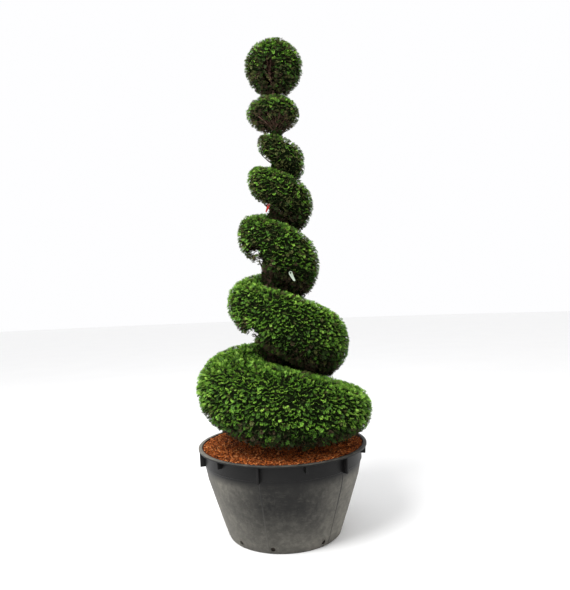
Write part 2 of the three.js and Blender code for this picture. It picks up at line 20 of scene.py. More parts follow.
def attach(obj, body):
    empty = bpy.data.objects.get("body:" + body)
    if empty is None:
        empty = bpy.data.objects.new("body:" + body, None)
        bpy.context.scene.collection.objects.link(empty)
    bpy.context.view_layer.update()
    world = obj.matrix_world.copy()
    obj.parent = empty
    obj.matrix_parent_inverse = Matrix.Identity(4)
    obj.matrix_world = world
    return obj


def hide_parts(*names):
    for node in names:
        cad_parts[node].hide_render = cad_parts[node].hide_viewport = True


bl_info = {
    "name": "Spiral topiary in a nursery tub",
    "version": (1, 0, 0),
    "blender": (4, 5, 0),
    "location": "View3D > Sidebar > Topiary",
    "description": "Grows a clipped evergreen spiral on its trunk and dresses the tub that it stands in",
    "category": "Object",
}

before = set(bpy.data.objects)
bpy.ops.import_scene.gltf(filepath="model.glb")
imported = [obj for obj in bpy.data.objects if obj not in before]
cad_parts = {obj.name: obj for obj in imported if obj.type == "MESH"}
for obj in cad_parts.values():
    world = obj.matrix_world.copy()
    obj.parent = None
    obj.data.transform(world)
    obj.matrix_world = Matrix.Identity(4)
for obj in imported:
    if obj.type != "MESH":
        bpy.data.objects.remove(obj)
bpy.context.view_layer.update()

# Sizes that the part's solids have, in metres.
TUB = SimpleNamespace(
    base=0.405,
    foot=0.461,
    foot_height=0.155,
    waist=0.549,
    waist_height=0.410,
    shoulder=0.571,
    shoulder_height=0.507,
    band=0.576,
    flare_height=0.590,
    flare=0.598,
    lip_underside=0.606,
    lip=0.617,
    height=0.618,
    wall=0.006,
    floor=0.008,
)
RIB = SimpleNamespace(count=12, first=-75, width=0.015, reach=0.613, tall=0.104, short=0.048)
DRAIN = SimpleNamespace(angles=(-45, -11, 38, 135, 169, -142), radius=0.016, height=0.035)
BED = SimpleNamespace(rim=0.612, seat=0.616, radius=0.5913, inner=0.5693, foot=0.592)

# The trunk: x, y, height and radius from its foot to its fork.
TRUNK = np.array([
    (0.000, 0.000, 0.6163, 0.052),
    (-0.008, 0.002, 0.760, 0.049),
    (-0.040, 0.008, 1.000, 0.046),
    (-0.078, 0.000, 1.330, 0.042),
    (-0.072, -0.006, 1.620, 0.038),
    (-0.052, -0.004, 1.900, 0.035),
    (0.004, 0.004, 2.310, 0.027),
    (0.030, 0.000, 2.720, 0.022),
    (0.028, 0.000, 2.990, 0.018),
    (0.024, -0.015, 3.250, 0.015),
    (0.012, -0.035, 3.350, 0.014),
    (-0.008, -0.045, 3.430, 0.013),
])
FLARE = SimpleNamespace(reach=0.024, height=0.045, lobes=5, depth=0.35)

# The ramp of foliage at its right and left sides in turn: reach, middle height and half thickness.
RAMP = np.array([
    (0.615, 0.655, 0.145),
    (0.640, 0.845, 0.200),
    (0.650, 1.040, 0.260),
    (0.500, 1.335, 0.240),
    (0.410, 1.660, 0.185),
    (0.300, 1.920, 0.190),
    (0.325, 2.165, 0.175),
    (0.270, 2.390, 0.148),
    (0.235, 2.590, 0.135),
    (0.217, 2.725, 0.130),
    (0.145, 2.890, 0.086),
    (0.070, 3.055, 0.045),
])
RAMP_AXIS = 0.030
RAMP_START, RAMP_END = -0.55, 9.4
RAMP_ROUND = 0.35
RAMP_INNER = 0.020
SECTION_POWER = 2.25
BACK_THIN, BACK_DROP, FRONT_FULL = 0.08, 0.14, 0.135
LOWEST_LEAF = 0.625
BOUGH = SimpleNamespace(share=0.3, taper=0.65, from_left=0.2)

BALLS = {
    "ball_lower": {
        "centre": (0.012, 0.0, 3.129),
        "radii": (0.211, 0.211, 0.146),
        "pocket": (-0.004, -0.135, 3.035),
        "pocket_radii": (0.125, 0.112, 0.072),
        "limbs": ((2.972, (-0.8, 0.1, 0.55)), (3.014, (-0.2, 0.3, 0.92)), (2.992, (0.6, 0.2, 0.75))),
        "limb_radius": 0.008,
        "shoots": (12, -0.9, -0.1),
    },
    "ball_top": {
        "centre": (0.029, 0.0, 3.507),
        "radii": (0.232, 0.232, 0.230),
        "pocket": (-0.006, -0.150, 3.425),
        "pocket_radii": (0.060, 0.128, 0.118),
        "limbs": ((3.376, (-0.75, 0.58, 0.36)), (3.426, (0.25, 0.6, 0.76))),
        "limb_radius": 0.009,
        "shoots": (7, -0.5, 0.6),
    },
}

# Thin places where the sky shows through the foliage: middle and radii.
WINDOWS = (
    ((-0.161, -0.02, 2.030), (0.046, 0.60, 0.034)),
    ((-0.130, -0.02, 1.937), (0.034, 0.60, 0.046)),
    ((-0.190, -0.02, 1.420), (0.048, 0.60, 0.045)),
)

# Places where old brown needles and bare twigs show: middle and radius.
BROWN_PLACES = (
    ((-0.115, -0.150, 3.330), 0.13),
    ((-0.100, -0.150, 3.030), 0.10),
    ((-0.110, -0.150, 1.960), 0.12),
    ((-0.190, -0.200, 1.450), 0.14),
    ((0.080, -0.180, 1.740), 0.16),
    ((0.030, -0.120, 2.330), 0.12),
)

# The loop labels: the mass that they hang from, the middle of the eye, the way up, the way of the twig
# through the eye, the length below the eye, half the width, how far the tail bows out and to the side.
LABELS = {
    "white_label": {
        "mass": "spiral_3_front",
        "eye": (0.1027, -0.2401, 1.8539),
        "up": (-0.385, -0.302, 0.872),
        "twig": (0.180, -0.951, -0.250),
        "length": 0.066,
        "half": 0.0130,
        "bow": 0.010,
        "sway": 0.007,
        "colour": (0.50, 0.58, 0.47),
    },
    "red_label": {
        "mass": "spiral_4_front",
        "eye": (-0.0410, -0.1757, 2.3671),
        "up": (0.387, -0.224, 0.894),
        "twig": (-0.100, -0.974, -0.201),
        "length": 0.056,
        "half": 0.0095,
        "bow": 0.004,
        "sway": 0.0,
        "colour": (0.33, 0.017, 0.010),
    },
}
LABEL_EYE, LABEL_THICK, HOOK = 0.0062, 0.0012, 0.0034


class Growth(NamedTuple):
    """How a mass grows: tones darker than fresh, the size of its sprays, how far it stands out in tufts,
    painted light on top and painted shade between, and its share of older, olive sprays."""

    tone: float = 0.15
    scale: float = 1.0
    tuft: float = 1.0
    olive: float = 0.15


GROWTH = {
    "spiral_start": Growth(tone=0.0, scale=1.03, tuft=1.6),
    "spiral_1_front": Growth(tone=-0.18, scale=1.04, tuft=2.0, olive=0.05),
    "spiral_1_back": Growth(scale=1.03, tuft=1.6),
    "spiral_2_front": Growth(tone=0.0, tuft=1.5, olive=0.10),
    "spiral_3_front": Growth(tone=0.3, olive=0.26),
    "spiral_4_front": Growth(tone=0.45, olive=0.40),
    "spiral_5_front": Growth(tone=0.6, olive=0.45),
    "ball_lower": Growth(tone=0.55, olive=0.42),
    "ball_top": Growth(tone=0.55, olive=0.42),
}


def metres(name, description, default):
    return FloatProperty(name=name, description=description, default=default, unit="LENGTH")


def paint(name, description, default):
    return FloatVectorProperty(name=name, description=description, default=default, subtype="COLOR")


class TubSettings(bpy.types.PropertyGroup):
    """Sizes and colours of the moulded tub."""

    sides: IntProperty(name="Sides", description="Facets round the turned wall", default=144, min=24)
    edge: metres("Edge", "Radius of the moulded edges", 0.0012)
    seam: metres("Seam", "How far a mould seam stands out", 0.0022)
    plastic: paint("Plastic", "Clean charcoal plastic", (0.0062, 0.0061, 0.0062))
    # Colour of the dust, and also of the painted sheen on the cone's sides and the painted reflection on
    # the lip.
    dust_and_sheen: paint("Dust", "Dried dust on the cone", (0.245, 0.232, 0.198))


class MulchSettings(bpy.types.PropertyGroup):
    """The bed of shredded bark."""

    chips: IntProperty(name="Chips", description="Number of bark chips", default=13000, min=100)
    fibres: IntProperty(name="Fibres", description="Number of loose fibres", default=3000, min=0)
    chip: metres("Chip", "Length of a chip", 0.020)
    pale: paint("Pale", "Split side of a chip", (0.80, 0.315, 0.108))
    orange: paint("Orange", "Fresh side of a chip", (0.54, 0.142, 0.029))
    brown: paint("Brown", "Outer bark", (0.26, 0.062, 0.016))


class BarkSettings(bpy.types.PropertyGroup):
    """Bark of the trunk, the boughs and the twigs."""

    relief: FloatProperty(
        name="Relief", description="Depth of the furrows as a share of the radius", default=0.1
    )
    pale: paint("Pale", "Flaked pinkish bark", (0.30, 0.165, 0.115))
    dark: paint("Dark", "Furrows", (0.075, 0.04, 0.028))
    twig: paint("Twig", "Thin twigs", (0.050, 0.034, 0.020))


class NeedleSettings(bpy.types.PropertyGroup):
    """Sprays of needles on the clipped surface."""

    spacing: metres("Spacing", "Least distance between spray tips", 0.0202)
    spray: metres("Spray", "Length of a spray", 0.037)
    needle: metres("Needle", "Length of a needle", 0.0175)
    width: metres("Width", "Width of a needle", 0.0035)
    core: metres("Core", "Depth of the dark inside below the tips", 0.029)
    seed: IntProperty(name="Seed", description="Seed of the growth rule", default=7)


class StageSettings(bpy.types.PropertyGroup):
    """Floor, light and camera."""

    floor: paint("Floor", "Plain pale floor", (0.93, 0.93, 0.925))
    key: FloatProperty(name="Key", description="Power of the large soft light", default=520.0, unit="POWER")
    sky: FloatProperty(name="Sky", description="Strength of the even light", default=1.0)


# Shader maths


class Wire:
    """A node's output socket. Sums and products of it add the Math nodes that work them out."""

    def __init__(self, finish, socket):
        self.finish = finish
        self.socket = socket

    def maths(self, operation, first, second):
        return self.finish.node("ShaderNodeMath", {"operation": operation}, {0: first, 1: second})

    def __add__(self, other):
        return self.maths("ADD", self, other)

    def __radd__(self, other):
        return self.maths("ADD", other, self)

    def __mul__(self, other):
        return self.maths("MULTIPLY", self, other)

    def __rmul__(self, other):
        return self.maths("MULTIPLY", other, self)


class Finish:
    """One material, built up node by node."""

    def __init__(self, name, roughness, specular=0.5):
        self.material = bpy.data.materials.new(name)
        self.material.use_nodes = True
        self.tree = self.material.node_tree
        self.skin = self.tree.nodes["Principled BSDF"]
        self.skin.inputs["Roughness"].default_value = roughness
        self.skin.inputs["Specular IOR Level"].default_value = specular

    def node(self, kind, settings=None, sockets=None, output=0):
        """Adds a node and gives one of its outputs."""
        made = self.tree.nodes.new(kind)
        for key, value in (settings or {}).items():
            setattr(made, key, value)
        for key, value in (sockets or {}).items():
            self.feed(made.inputs[key], value)
        return Wire(self, made.outputs[output])

    def feed(self, socket, value):
        if isinstance(value, Wire):
            self.tree.links.new(value.socket, socket)
        elif socket.type == "RGBA" and len(value) == 3:
            socket.default_value = (*value, 1.0)
        else:
            socket.default_value = value

    def place(self):
        """Position on the piece, in metres."""
        return self.node("ShaderNodeTexCoord", output="Object")

    def axis(self, letter):
        """X, Y or Z of the position."""
        return self.node("ShaderNodeSeparateXYZ", sockets={0: self.place()}, output=letter)

    def stretched(self, scale):
        return self.node("ShaderNodeMapping", sockets={"Vector": self.place(), "Scale": scale})

    def grain(self, scale, detail=3.0, vector=None, roughness=0.55):
        sockets = {"Scale": scale, "Detail": detail, "Roughness": roughness}
        sockets["Vector"] = vector or self.place()
        return self.node("ShaderNodeTexNoise", sockets=sockets)

    def cracks(self, scale, vector):
        """Distance to the nearest edge between cells."""
        edges = {"feature": "DISTANCE_TO_EDGE"}
        return self.node("ShaderNodeTexVoronoi", edges, {"Scale": scale, "Vector": vector}, "Distance")

    def ranged(self, value, low, high, to_low=0.0, to_high=1.0):
        sockets = {"Value": value, "From Min": low, "From Max": high, "To Min": to_low, "To Max": to_high}
        return self.node("ShaderNodeMapRange", sockets=sockets)

    def patches(self, scale, detail, low, high, vector=None):
        """Patches of noise: 0 where it is below low, 1 where it is above high."""
        return self.ranged(self.grain(scale, detail, vector), low, high)

    def mix(self, share, first, second):
        """The first colour at share 0, the second at 1: a Mix node's inputs 6 and 7 and its output 2."""
        return self.node("ShaderNodeMix", {"data_type": "RGBA"}, {0: share, 6: first, 7: second}, 2)

    def colour(self, value):
        self.feed(self.skin.inputs["Base Color"], value)

    def roughness(self, value):
        self.feed(self.skin.inputs["Roughness"], value)

    def bump(self, height, distance):
        sockets = {"Height": height, "Distance": distance, "Strength": 1.0}
        self.feed(self.skin.inputs["Normal"], self.node("ShaderNodeBump", sockets=sockets))


def scaled(colour, factor):
    return tuple(factor * c for c in colour)


def two_toned(name, roughness, specular, patches, colours, bumps):
    """A material in patches of two colours, with bumps that have a scale, a detail and a depth."""
    finish = Finish(name, roughness, specular)
    finish.colour(finish.mix(finish.patches(*patches), *colours))
    finish.bump(finish.grain(*bumps[:2]), bumps[2])
    return finish.material


# Modelling helpers


def settings():
    """The sizes and colours that the sidebar shows."""
    return bpy.context.scene.topiary


def deselect():
    bpy.ops.object.select_all(action="DESELECT")


def added(name, add, **values):
    """The piece that an operator adds, under its own name and with its place put into its mesh."""
    deselect()
    add(**values)
    piece = bpy.context.object
    piece.name = name
    piece.data.name = name
    bpy.ops.object.transform_apply(location=True, rotation=True, scale=True)
    return piece


@contextmanager
def editing(selected="SELECT"):
    """Edit mode for the active piece, with all of it selected or, by DESELECT, nothing."""
    bpy.ops.object.mode_set(mode="EDIT")
    bpy.ops.mesh.select_all(action=selected)
    yield
    bpy.ops.object.mode_set(mode="OBJECT")


def apply_modifier(piece, kind, **values):
    modifier = piece.modifiers.new(kind.title(), kind)
    for key, value in values.items():
        setattr(modifier, key, value)
    bpy.context.view_layer.objects.active = piece
    bpy.ops.object.modifier_apply(modifier=modifier.name)


def join(pieces):
    """Several pieces as one; the first keeps its name."""
    deselect()
    for piece in pieces:
        piece.select_set(True)
    bpy.context.view_layer.objects.active = pieces[0]
    bpy.ops.object.join()
    return pieces[0]


def finish_piece(piece, finish, slot, *nodes):
    """Gives a piece its material or materials and body, and hides the nodes that it stands for; the slot is
    not used.
    """
    for material in finish if isinstance(finish, list) else [finish]:
        piece.data.materials.append(material)
    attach(piece, "root")
    if nodes:
        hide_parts(*nodes)


def turned(name, profile, sides):
    """A closed turned piece: one ring is extruded and resized from profile point to profile point."""
    radius, height = profile[0]
    circle = {"vertices": sides, "radius": radius, "location": (0, 0, height)}
    piece = added(name, bpy.ops.mesh.primitive_circle_add, **circle)
    with editing():
        for before, after in zip(profile, profile[1:]):
            rise = after[1] - before[1]
            grow = after[0] / before[0]
            bpy.ops.mesh.extrude_region_move(TRANSFORM_OT_translate={"value": (0, 0, rise)})
            bpy.ops.transform.resize(value=(grow, grow, 1), center_override=(0, 0, 0))
        bpy.ops.mesh.select_all(action="SELECT")
        bpy.ops.mesh.fill_holes(sides=0)
        bpy.ops.mesh.normals_make_consistent(inside=False)
    return piece


def shaped_grid(name, across, along_it, place):
    """A grid whose points go where place puts their shares across and along, with its seams closed."""
    grid = {"x_subdivisions": across, "y_subdivisions": along_it, "size": 1}
    piece = added(name, bpy.ops.mesh.primitive_grid_add, **grid)
    flat = np.empty(3 * len(piece.data.vertices))
    piece.data.vertices.foreach_get("co", flat)
    shares = flat.reshape(-1, 3)[:, :2] + 0.5
    piece.data.vertices.foreach_set("co", place(shares[:, 0], shares[:, 1]).ravel())
    with editing():
        bpy.ops.mesh.remove_doubles(threshold=1e-5)
        bpy.ops.mesh.normals_make_consistent(inside=False)
    bpy.ops.object.shade_smooth()
    return piece


def joined_mesh(name, points, faces, tones=None):
    """Many small things as one mesh from arrays of points and triangles."""
    mesh = bpy.data.meshes.new(name)
    mesh.vertices.add(len(points))
    mesh.vertices.foreach_set("co", np.ascontiguousarray(points, np.float32).ravel())
    mesh.loops.add(faces.size)
    mesh.loops.foreach_set("vertex_index", np.ascontiguousarray(faces, np.int32).ravel())
    mesh.polygons.add(len(faces))
    mesh.polygons.foreach_set("loop_start", np.arange(0, faces.size, 3, dtype=np.int32))
    if tones is not None:
        mesh.polygons.foreach_set("material_index", tones.astype(np.int32))
    mesh.update()
    mesh.validate()
    piece = bpy.data.objects.new(name, mesh)
    bpy.context.collection.objects.link(piece)
    return piece


def unit(vectors):
    return vectors / np.maximum(np.linalg.norm(vectors, axis=-1, keepdims=True), 1e-12)


def along(rows, s):
    """Every column of the rows at row position s, on a smooth curve through the rows."""
    s = np.atleast_1d(np.asarray(s, float))
    i = np.clip(np.floor(s).astype(int), 0, len(rows) - 2)
    f = (s - i)[:, None]
    start, end = rows[i], rows[i + 1]
    leave = (end - rows[np.maximum(i - 1, 0)]) / 2
    arrive = (rows[np.minimum(i + 2, len(rows) - 1)] - start) / 2
    cubic = 2 * start - 2 * end + leave + arrive
    square = 3 * end - 3 * start - 2 * leave - arrive
    return ((cubic * f + square) * f + leave) * f + start


def bend(start, through, end, steps):
    """Points on the curve from each start to its end that leans towards a third point."""
    f = np.linspace(0, 1, steps)[:, None]
    start, through, end = (point[..., None, :] for point in (start, through, end))
    return (1 - f) ** 2 * start + 2 * f * (1 - f) * through + f**2 * end


def tubes(paths, radii, sides):
    """Points and triangles of tapering tubes along many paths with the same number of points."""
    count, steps, _ = paths.shape
    tangent = unit(np.gradient(paths, axis=1))
    helper = np.where(np.abs(tangent[..., 2:]) < 0.8, (0.0, 0.0, 1.0), (1.0, 0.0, 0.0))
    first = unit(np.cross(tangent, helper))
    second = np.cross(tangent, first)
    angle = np.arange(sides) * 2 * np.pi / sides
    ring = np.cos(angle)[:, None] * first[:, :, None] + np.sin(angle)[:, None] * second[:, :, None]
    points = paths[:, :, None] + radii[..., None, None] * ring
    k = np.arange(sides)
    step = np.arange(steps - 1)[:, None]
    a = step * sides + k
    b = step * sides + (k + 1) % sides
    quads = np.stack([a, b, b + sides, a, b + sides, a + sides], -1).reshape(-1, 3)
    starts = np.arange(count)[:, None, None] * steps * sides
    return points.reshape(-1, 3), (quads + starts).reshape(-1, 3)


def crooked(random, ends, steps, jitter, radii, sizes, sides):
    """Crooked tubes over feet, knees and tips, each of its own thickness."""
    paths = bend(*ends, steps)
    paths[:, 1:-1] += random.normal(0, jitter, paths[:, 1:-1].shape)
    return tubes(paths, np.linspace(*radii, steps) * random.uniform(*sizes, (len(paths), 1)), sides)


def stacked(groups):
    """Several sets of points and triangles as one."""
    points, faces, start = [], [], 0
    for some_points, some_faces in groups:
        points.append(some_points)
        faces.append(some_faces + start)
        start += len(some_points)
    return np.concatenate(points), np.concatenate(faces)


def lumps(points, size, seed=0.0):
    """Smooth noise from -1 to 1 at each point, with bumps about as wide as size."""
    offset = Vector((seed, 2.3 * seed, -1.7 * seed))
    return np.array([noise.noise(Vector(point) / size + offset) for point in points])


def from_front(degrees, radius, height=0.0):
    """A place round the tub, by degrees to the right of its front."""
    angle = math.radians(degrees)
    return radius * math.sin(angle), -radius * math.cos(angle), height


# Growth rule: the shapes of trunk, boughs and clipped masses


def trunk_at(height):
    """Middles and radii of the trunk at some heights."""
    rows = along(TRUNK, np.linspace(0, len(TRUNK) - 1, 400))
    x, y, radius = (np.interp(height, rows[:, 2], rows[:, k]) for k in (0, 1, 3))
    return np.stack([x, y, height], -1), radius


def round_axis(points):
    """How far points lie from the ramp's axis, and at which half-turn within one winding."""
    x, y = points[:, 0] - RAMP_AXIS, points[:, 1]
    return np.hypot(x, y), -np.arctan2(y, x) / np.pi


def ellipsoid(points, middle, radii):
    """Over 1 outside an ellipsoid."""
    return (((points - middle) / radii) ** 2).sum(-1)


def power_of(value):
    """A sine or cosine, drawn out to the section's blunt oval."""
    return np.sign(value) * np.abs(value) ** (2 / SECTION_POWER)


def section(t):
    """The ramp's section at half-turn t."""
    t = np.asarray(t, float)
    reach, middle, half = along(RAMP, t + 1).T
    azimuth = -np.pi * t
    back = np.maximum(np.sin(azimuth), 0) ** 2
    front = np.maximum(-np.sin(azimuth), 0) ** 2
    thick = half * (1 - BACK_THIN * back + FRONT_FULL * front)
    from_end = np.minimum(t - RAMP_START, RAMP_END - t) / RAMP_ROUND
    swell = np.sqrt(1 - (1 - np.clip(from_end, 0, 1)) ** 2)
    width = (reach - RAMP_INNER) / 2
    return {
        "azimuth": azimuth,
        "width": width * np.sqrt(swell),
        "thick": thick * swell,
        "radius": RAMP_INNER + width,
        "height": np.maximum(middle - BACK_DROP * thick * back, LOWEST_LEAF + thick),
        "tilt": 0.032 * t - 0.01,
        "level": RAMP_INNER + 1.6 * width,
    }


def ramp_level(out, height, t):
    """Over 1 outside the ramp's section at half-turn t."""
    part = section(t)
    across = np.abs(out - part["radius"]) / np.maximum(part["width"], 0.001)
    offset = height - part["height"] - part["tilt"] * (out - part["level"])
    rise = np.abs(offset) / np.maximum(part["thick"], 0.001)
    return across**SECTION_POWER + rise**SECTION_POWER


class Ramp:
    """A stretch of the climbing ramp of foliage, between two half-turns."""

    def __init__(self, name, start, end):
        self.name, self.start, self.end = name, start, end
        self.growth, self.boughs = GROWTH.get(name, Growth()), []

    def turn(self, s):
        return self.start + (self.end - self.start) * np.asarray(s, float)

    def surface(self, s, u, depth):
        part = section(self.turn(s))
        out = part["radius"] + np.maximum(part["width"] - depth, 0.004) * power_of(np.cos(u))
        up = np.maximum(part["thick"] - depth, 0.004) * power_of(np.sin(u))
        z = part["height"] + up + part["tilt"] * (out - part["level"])
        azimuth = part["azimuth"]
        return np.stack([RAMP_AXIS + out * np.cos(azimuth), out * np.sin(azimuth), z], -1)

    def middle(self, s):
        part = section(self.turn(s))
        x = RAMP_AXIS + part["radius"] * np.cos(part["azimuth"])
        y = part["radius"] * np.sin(part["azimuth"])
        return np.stack([x, y, part["height"]], -1)

    def level(self, points):
        """Over 1 outside the clipped surface."""
        out, turns = round_axis(points)
        t = turns + 2 * np.round(((self.start + self.end) / 2 - turns) / 2)
        return ramp_level(out, points[:, 2], np.clip(t, RAMP_START + 0.01, RAMP_END - 0.01))


class Ball:
    """A clipped ball, open at its lower front where its limbs show."""

    def __init__(self, name, centre, radii, pocket, pocket_radii):
        self.name, self.growth, self.boughs = name, GROWTH.get(name, Growth()), []
        self.centre, self.radii = np.array(centre), np.array(radii)
        self.pocket, self.pocket_radii = np.array(pocket), np.array(pocket_radii)

    def surface(self, s, u, depth):
        s, u, depth = np.broadcast_arrays(np.asarray(s, float), u, depth)
        flat = np.stack([np.cos(np.pi * s) * np.cos(u), np.sin(np.pi * s) * np.cos(u), np.sin(u)], -1)
        return self.centre + (self.radii - depth[..., None]) * flat

    def middle(self, s):
        return np.broadcast_to(self.centre, (*np.shape(s), 3))

    def in_pocket(self, points, grow=1.0):
        return ellipsoid(points, self.pocket, self.pocket_radii * grow) < 1

    def level(self, points):
        return ellipsoid(points, self.centre, self.radii)


def bough_path(t):
    """Trunk, elbow and tip of the bough that rises into the ramp at half-turn t."""
    whole = Ramp("whole", 0, 1)
    tip = whole.surface(t, -np.pi / 2, 0.0)[0]
    floor = BED.seat if t < 2 else whole.surface(t - 2, np.pi / 2, 0.0)[0][2]
    height = tip[2] - 0.5 * (tip[2] - floor)
    root, radius = trunk_at(height)
    elbow = root + 0.6 * (tip - root)
    elbow[2] = root[2] + 0.25 * (tip[2] - root[2])
    return bend(root, elbow, tip, 24), BOUGH.share * radius


def pocket_path(ball, limb_from, to):
    """The limb in a ball's pocket, from the trunk to the pocket's wall."""
    root, _ = trunk_at(limb_from)
    tip = 0.97 * unit(np.array(to)) * ball.pocket_radii + ball.pocket
    elbow = (root + tip) / 2
    elbow[2] += 0.12 * np.linalg.norm(tip - root)
    return bend(root, elbow, tip, 16)


def grown_masses():
    """Every mass with the boughs that carry it: a list of path, radius and node name for each."""
    masses = [Ramp("spiral_start", RAMP_START, 0)]
    for k in range(9):
        side = "back" if k % 2 else "front"
        turn = k // 2 + 1
        mass = Ramp(f"spiral_{turn}_{side}", k, RAMP_END if k == 8 else k + 1)
        t = k + BOUGH.from_left if k % 2 else k + 1 - BOUGH.from_left
        path, radius = bough_path(t)
        mass.boughs.append((f"bough_{turn}_{side}", path, radius))
        masses.append(mass)
    for name, ball in BALLS.items():
        mass = Ball(name, *(ball[key] for key in ("centre", "radii", "pocket", "pocket_radii")))
        for i, (limb_from, to) in enumerate(ball["limbs"]):
            path = pocket_path(mass, limb_from, to)
            mass.boughs.append((f"{name}_limb_{i + 1}", path, ball["limb_radius"]))
        masses.append(mass)
    return masses


def inside_plant(points, balls):
    """Whether points lie in any clipped mass."""
    out, turns = round_axis(points)
    inside = np.zeros(len(points), bool)
    for winding in range(6):
        t = turns + 2 * winding
        on = np.flatnonzero((t > RAMP_START + 0.05) & (t < RAMP_END - 0.05) & ~inside)
        inside[on] = ramp_level(out[on], points[on, 2], t[on]) < 0.95
    for ball in balls:
        inside |= ball.level(points) < 0.95
    return inside


def shade_over(points, balls):
    """How much of the sky the masses hide from each point, from 0 in the open to 1."""
    hidden = np.zeros(len(points))
    for i in range(9):
        turn = 2 * math.pi * i / 8
        flat = 0.8 if i < 8 else 0.0
        heading = np.array([flat * math.cos(turn), flat * math.sin(turn), 0.6 if i < 8 else 1.0])
        blocked = np.zeros(len(points), bool)
        for distance in (0.06, 0.13, 0.24, 0.40):
            free = np.flatnonzero(~blocked)
            blocked[free] = inside_plant(points[free] + distance * heading, balls)
        hidden += blocked
    return hidden / 9


def normals(mass, s, u):
    """Outward directions of the clipped surface."""
    step = 0.005
    here = mass.surface(s, u, 0.0)
    onwards = mass.surface(s + step, u, 0.0) - here
    around = mass.surface(s, u + step, 0.0) - here
    normal = unit(np.cross(onwards, around))
    inwards = (normal * (here - mass.middle(s))).sum(-1) < 0
    return np.where(inwards[:, None], -normal, normal)


def spread(mass, spacing, random):
    """Places s and u over a mass's surface, evenly and at least spacing apart."""
    if isinstance(mass, Ball):
        s_edges, u_edges = np.linspace(0, 2, 81), np.linspace(-np.pi / 2, np.pi / 2, 61)
    else:
        s_edges, u_edges = np.linspace(0, 1, 81), np.linspace(0, 2 * np.pi, 121)
    s_grid, u_grid = np.meshgrid(s_edges, u_edges, indexing="ij")
    points = mass.surface(s_grid.ravel(), u_grid.ravel(), 0.0).reshape(*s_grid.shape, 3)
    sides = np.diff(points, axis=0)[:, :-1], np.diff(points, axis=1)[:-1]
    area = np.linalg.norm(np.cross(*sides), axis=-1).ravel()
    count = int(4.5 * area.sum() / spacing**2)
    cell = random.choice(area.size, count, p=area / area.sum())
    row, column = np.unravel_index(cell, (len(s_edges) - 1, len(u_edges) - 1))
    s = s_edges[row] + random.random(count) * (s_edges[1] - s_edges[0])
    u = u_edges[column] + random.random(count) * (u_edges[1] - u_edges[0])
    places = mass.surface(s, u, 0.0)
    tree = KDTree(count)
    for i, place in enumerate(places):
        tree.insert(place, i)
    tree.balance()
    crowded = np.zeros(count, bool)
    kept = []
    for i, place in enumerate(places):
        if crowded[i]:
            continue
        kept.append(i)
        crowded[[j for _, j, _ in tree.find_range(place, spacing)]] = True
    return s[kept], u[kept]


def in_window(points, grow=1.0):
    """Whether points lie where the foliage is thin and the sky shows through."""
    inside = np.zeros(len(points), bool)
    for middle, radii in WINDOWS:
        inside |= ellipsoid(points, middle, np.array(radii) * grow) < 1
    return inside


def near_limbs(points, limbs, clear):
    """Whether points lie within clear of the trunk or of a bough."""
    middle, radius = trunk_at(points[:, 2])
    x, y, _ = (points - middle).T
    close = np.hypot(x, y) < radius + clear
    close &= points[:, 2] < TRUNK[-1, 2]
    for _, path, radius in limbs:
        for on in path[::2]:
            close |= np.linalg.norm(points - on, axis=-1) < radius + clear / 2
    return close


# Needles

NEEDLE_TONES = (
    ("needle_tip", (0.27, 0.48, 0.060)),
    ("needle_fresh", (0.136, 0.305, 0.026)),
    ("needle_green", (0.068, 0.176, 0.017)),
    ("needle_deep", (0.038, 0.087, 0.016)),
    ("needle_dark", (0.026, 0.042, 0.014)),
    ("needle_brown", (0.062, 0.045, 0.027)),
    ("needle_olive", (0.088, 0.100, 0.030)),
)
BROWN, OLIVE = 5, 6
SPRAY_KINDS = 8
NEEDLES = 19

# The layers of sprays: spacing, depth, mean and spread of the lean towards the light, and tones darker, as
# painted shade on the deeper layer.
LAYERS = (
    (1.0, -0.010, (-0.40, 0.32), 0.0),
    (1.05, 0.014, (-0.25, 0.55), 1.5),
)
ROLL = 0.40
TUFT_SIZE, TUFT_DEPTH, RAGGED = 0.065, 0.014, 0.008
STRAYS, STRAY_LENGTH = 0.03, 0.006

# How tones darken as painted shade: in the open, with shade, with more of it in deep shade and on
# undersides.
OPEN_TONE, SHADE_TONE, DEEP_TONE, UNDER_TONE = 0.55, 2.15, 1.9, 2.7
DEEP_FROM, UNDER_FROM = 0.6, 0.22
TONE_SPREAD, TONE_DRIFT, DRIFT_SIZE = 0.75, 0.5, 0.16

# The shares of dark and brown tones, for old sprays round the trunk and in the balls' pockets: old needles
# and painted shade.
OLD_AND_SHADED_TONES = (BROWN - 2, BROWN - 1, BROWN)
TRUNK_SHARES, POCKET_SHARES = (0.2, 0.4, 0.4), (0.3, 0.3, 0.4)


def make_needle(name, colour):
    """Waxy needles: a little lighter and darker from place to place, with a soft sheen."""
    finish = Finish(name, 0.42, min(0.3, 0.9 * colour[1]))
    light = tuple(min(c, 1.0) for c in scaled(colour, 1.35))
    finish.colour(finish.mix(finish.patches(38.0, 2.0, 0.35, 0.65), scaled(colour, 0.7), light))
    finish.roughness(finish.ranged(finish.grain(90.0, 1.0), 0.3, 0.7, 0.38, 0.6))
    return finish.material


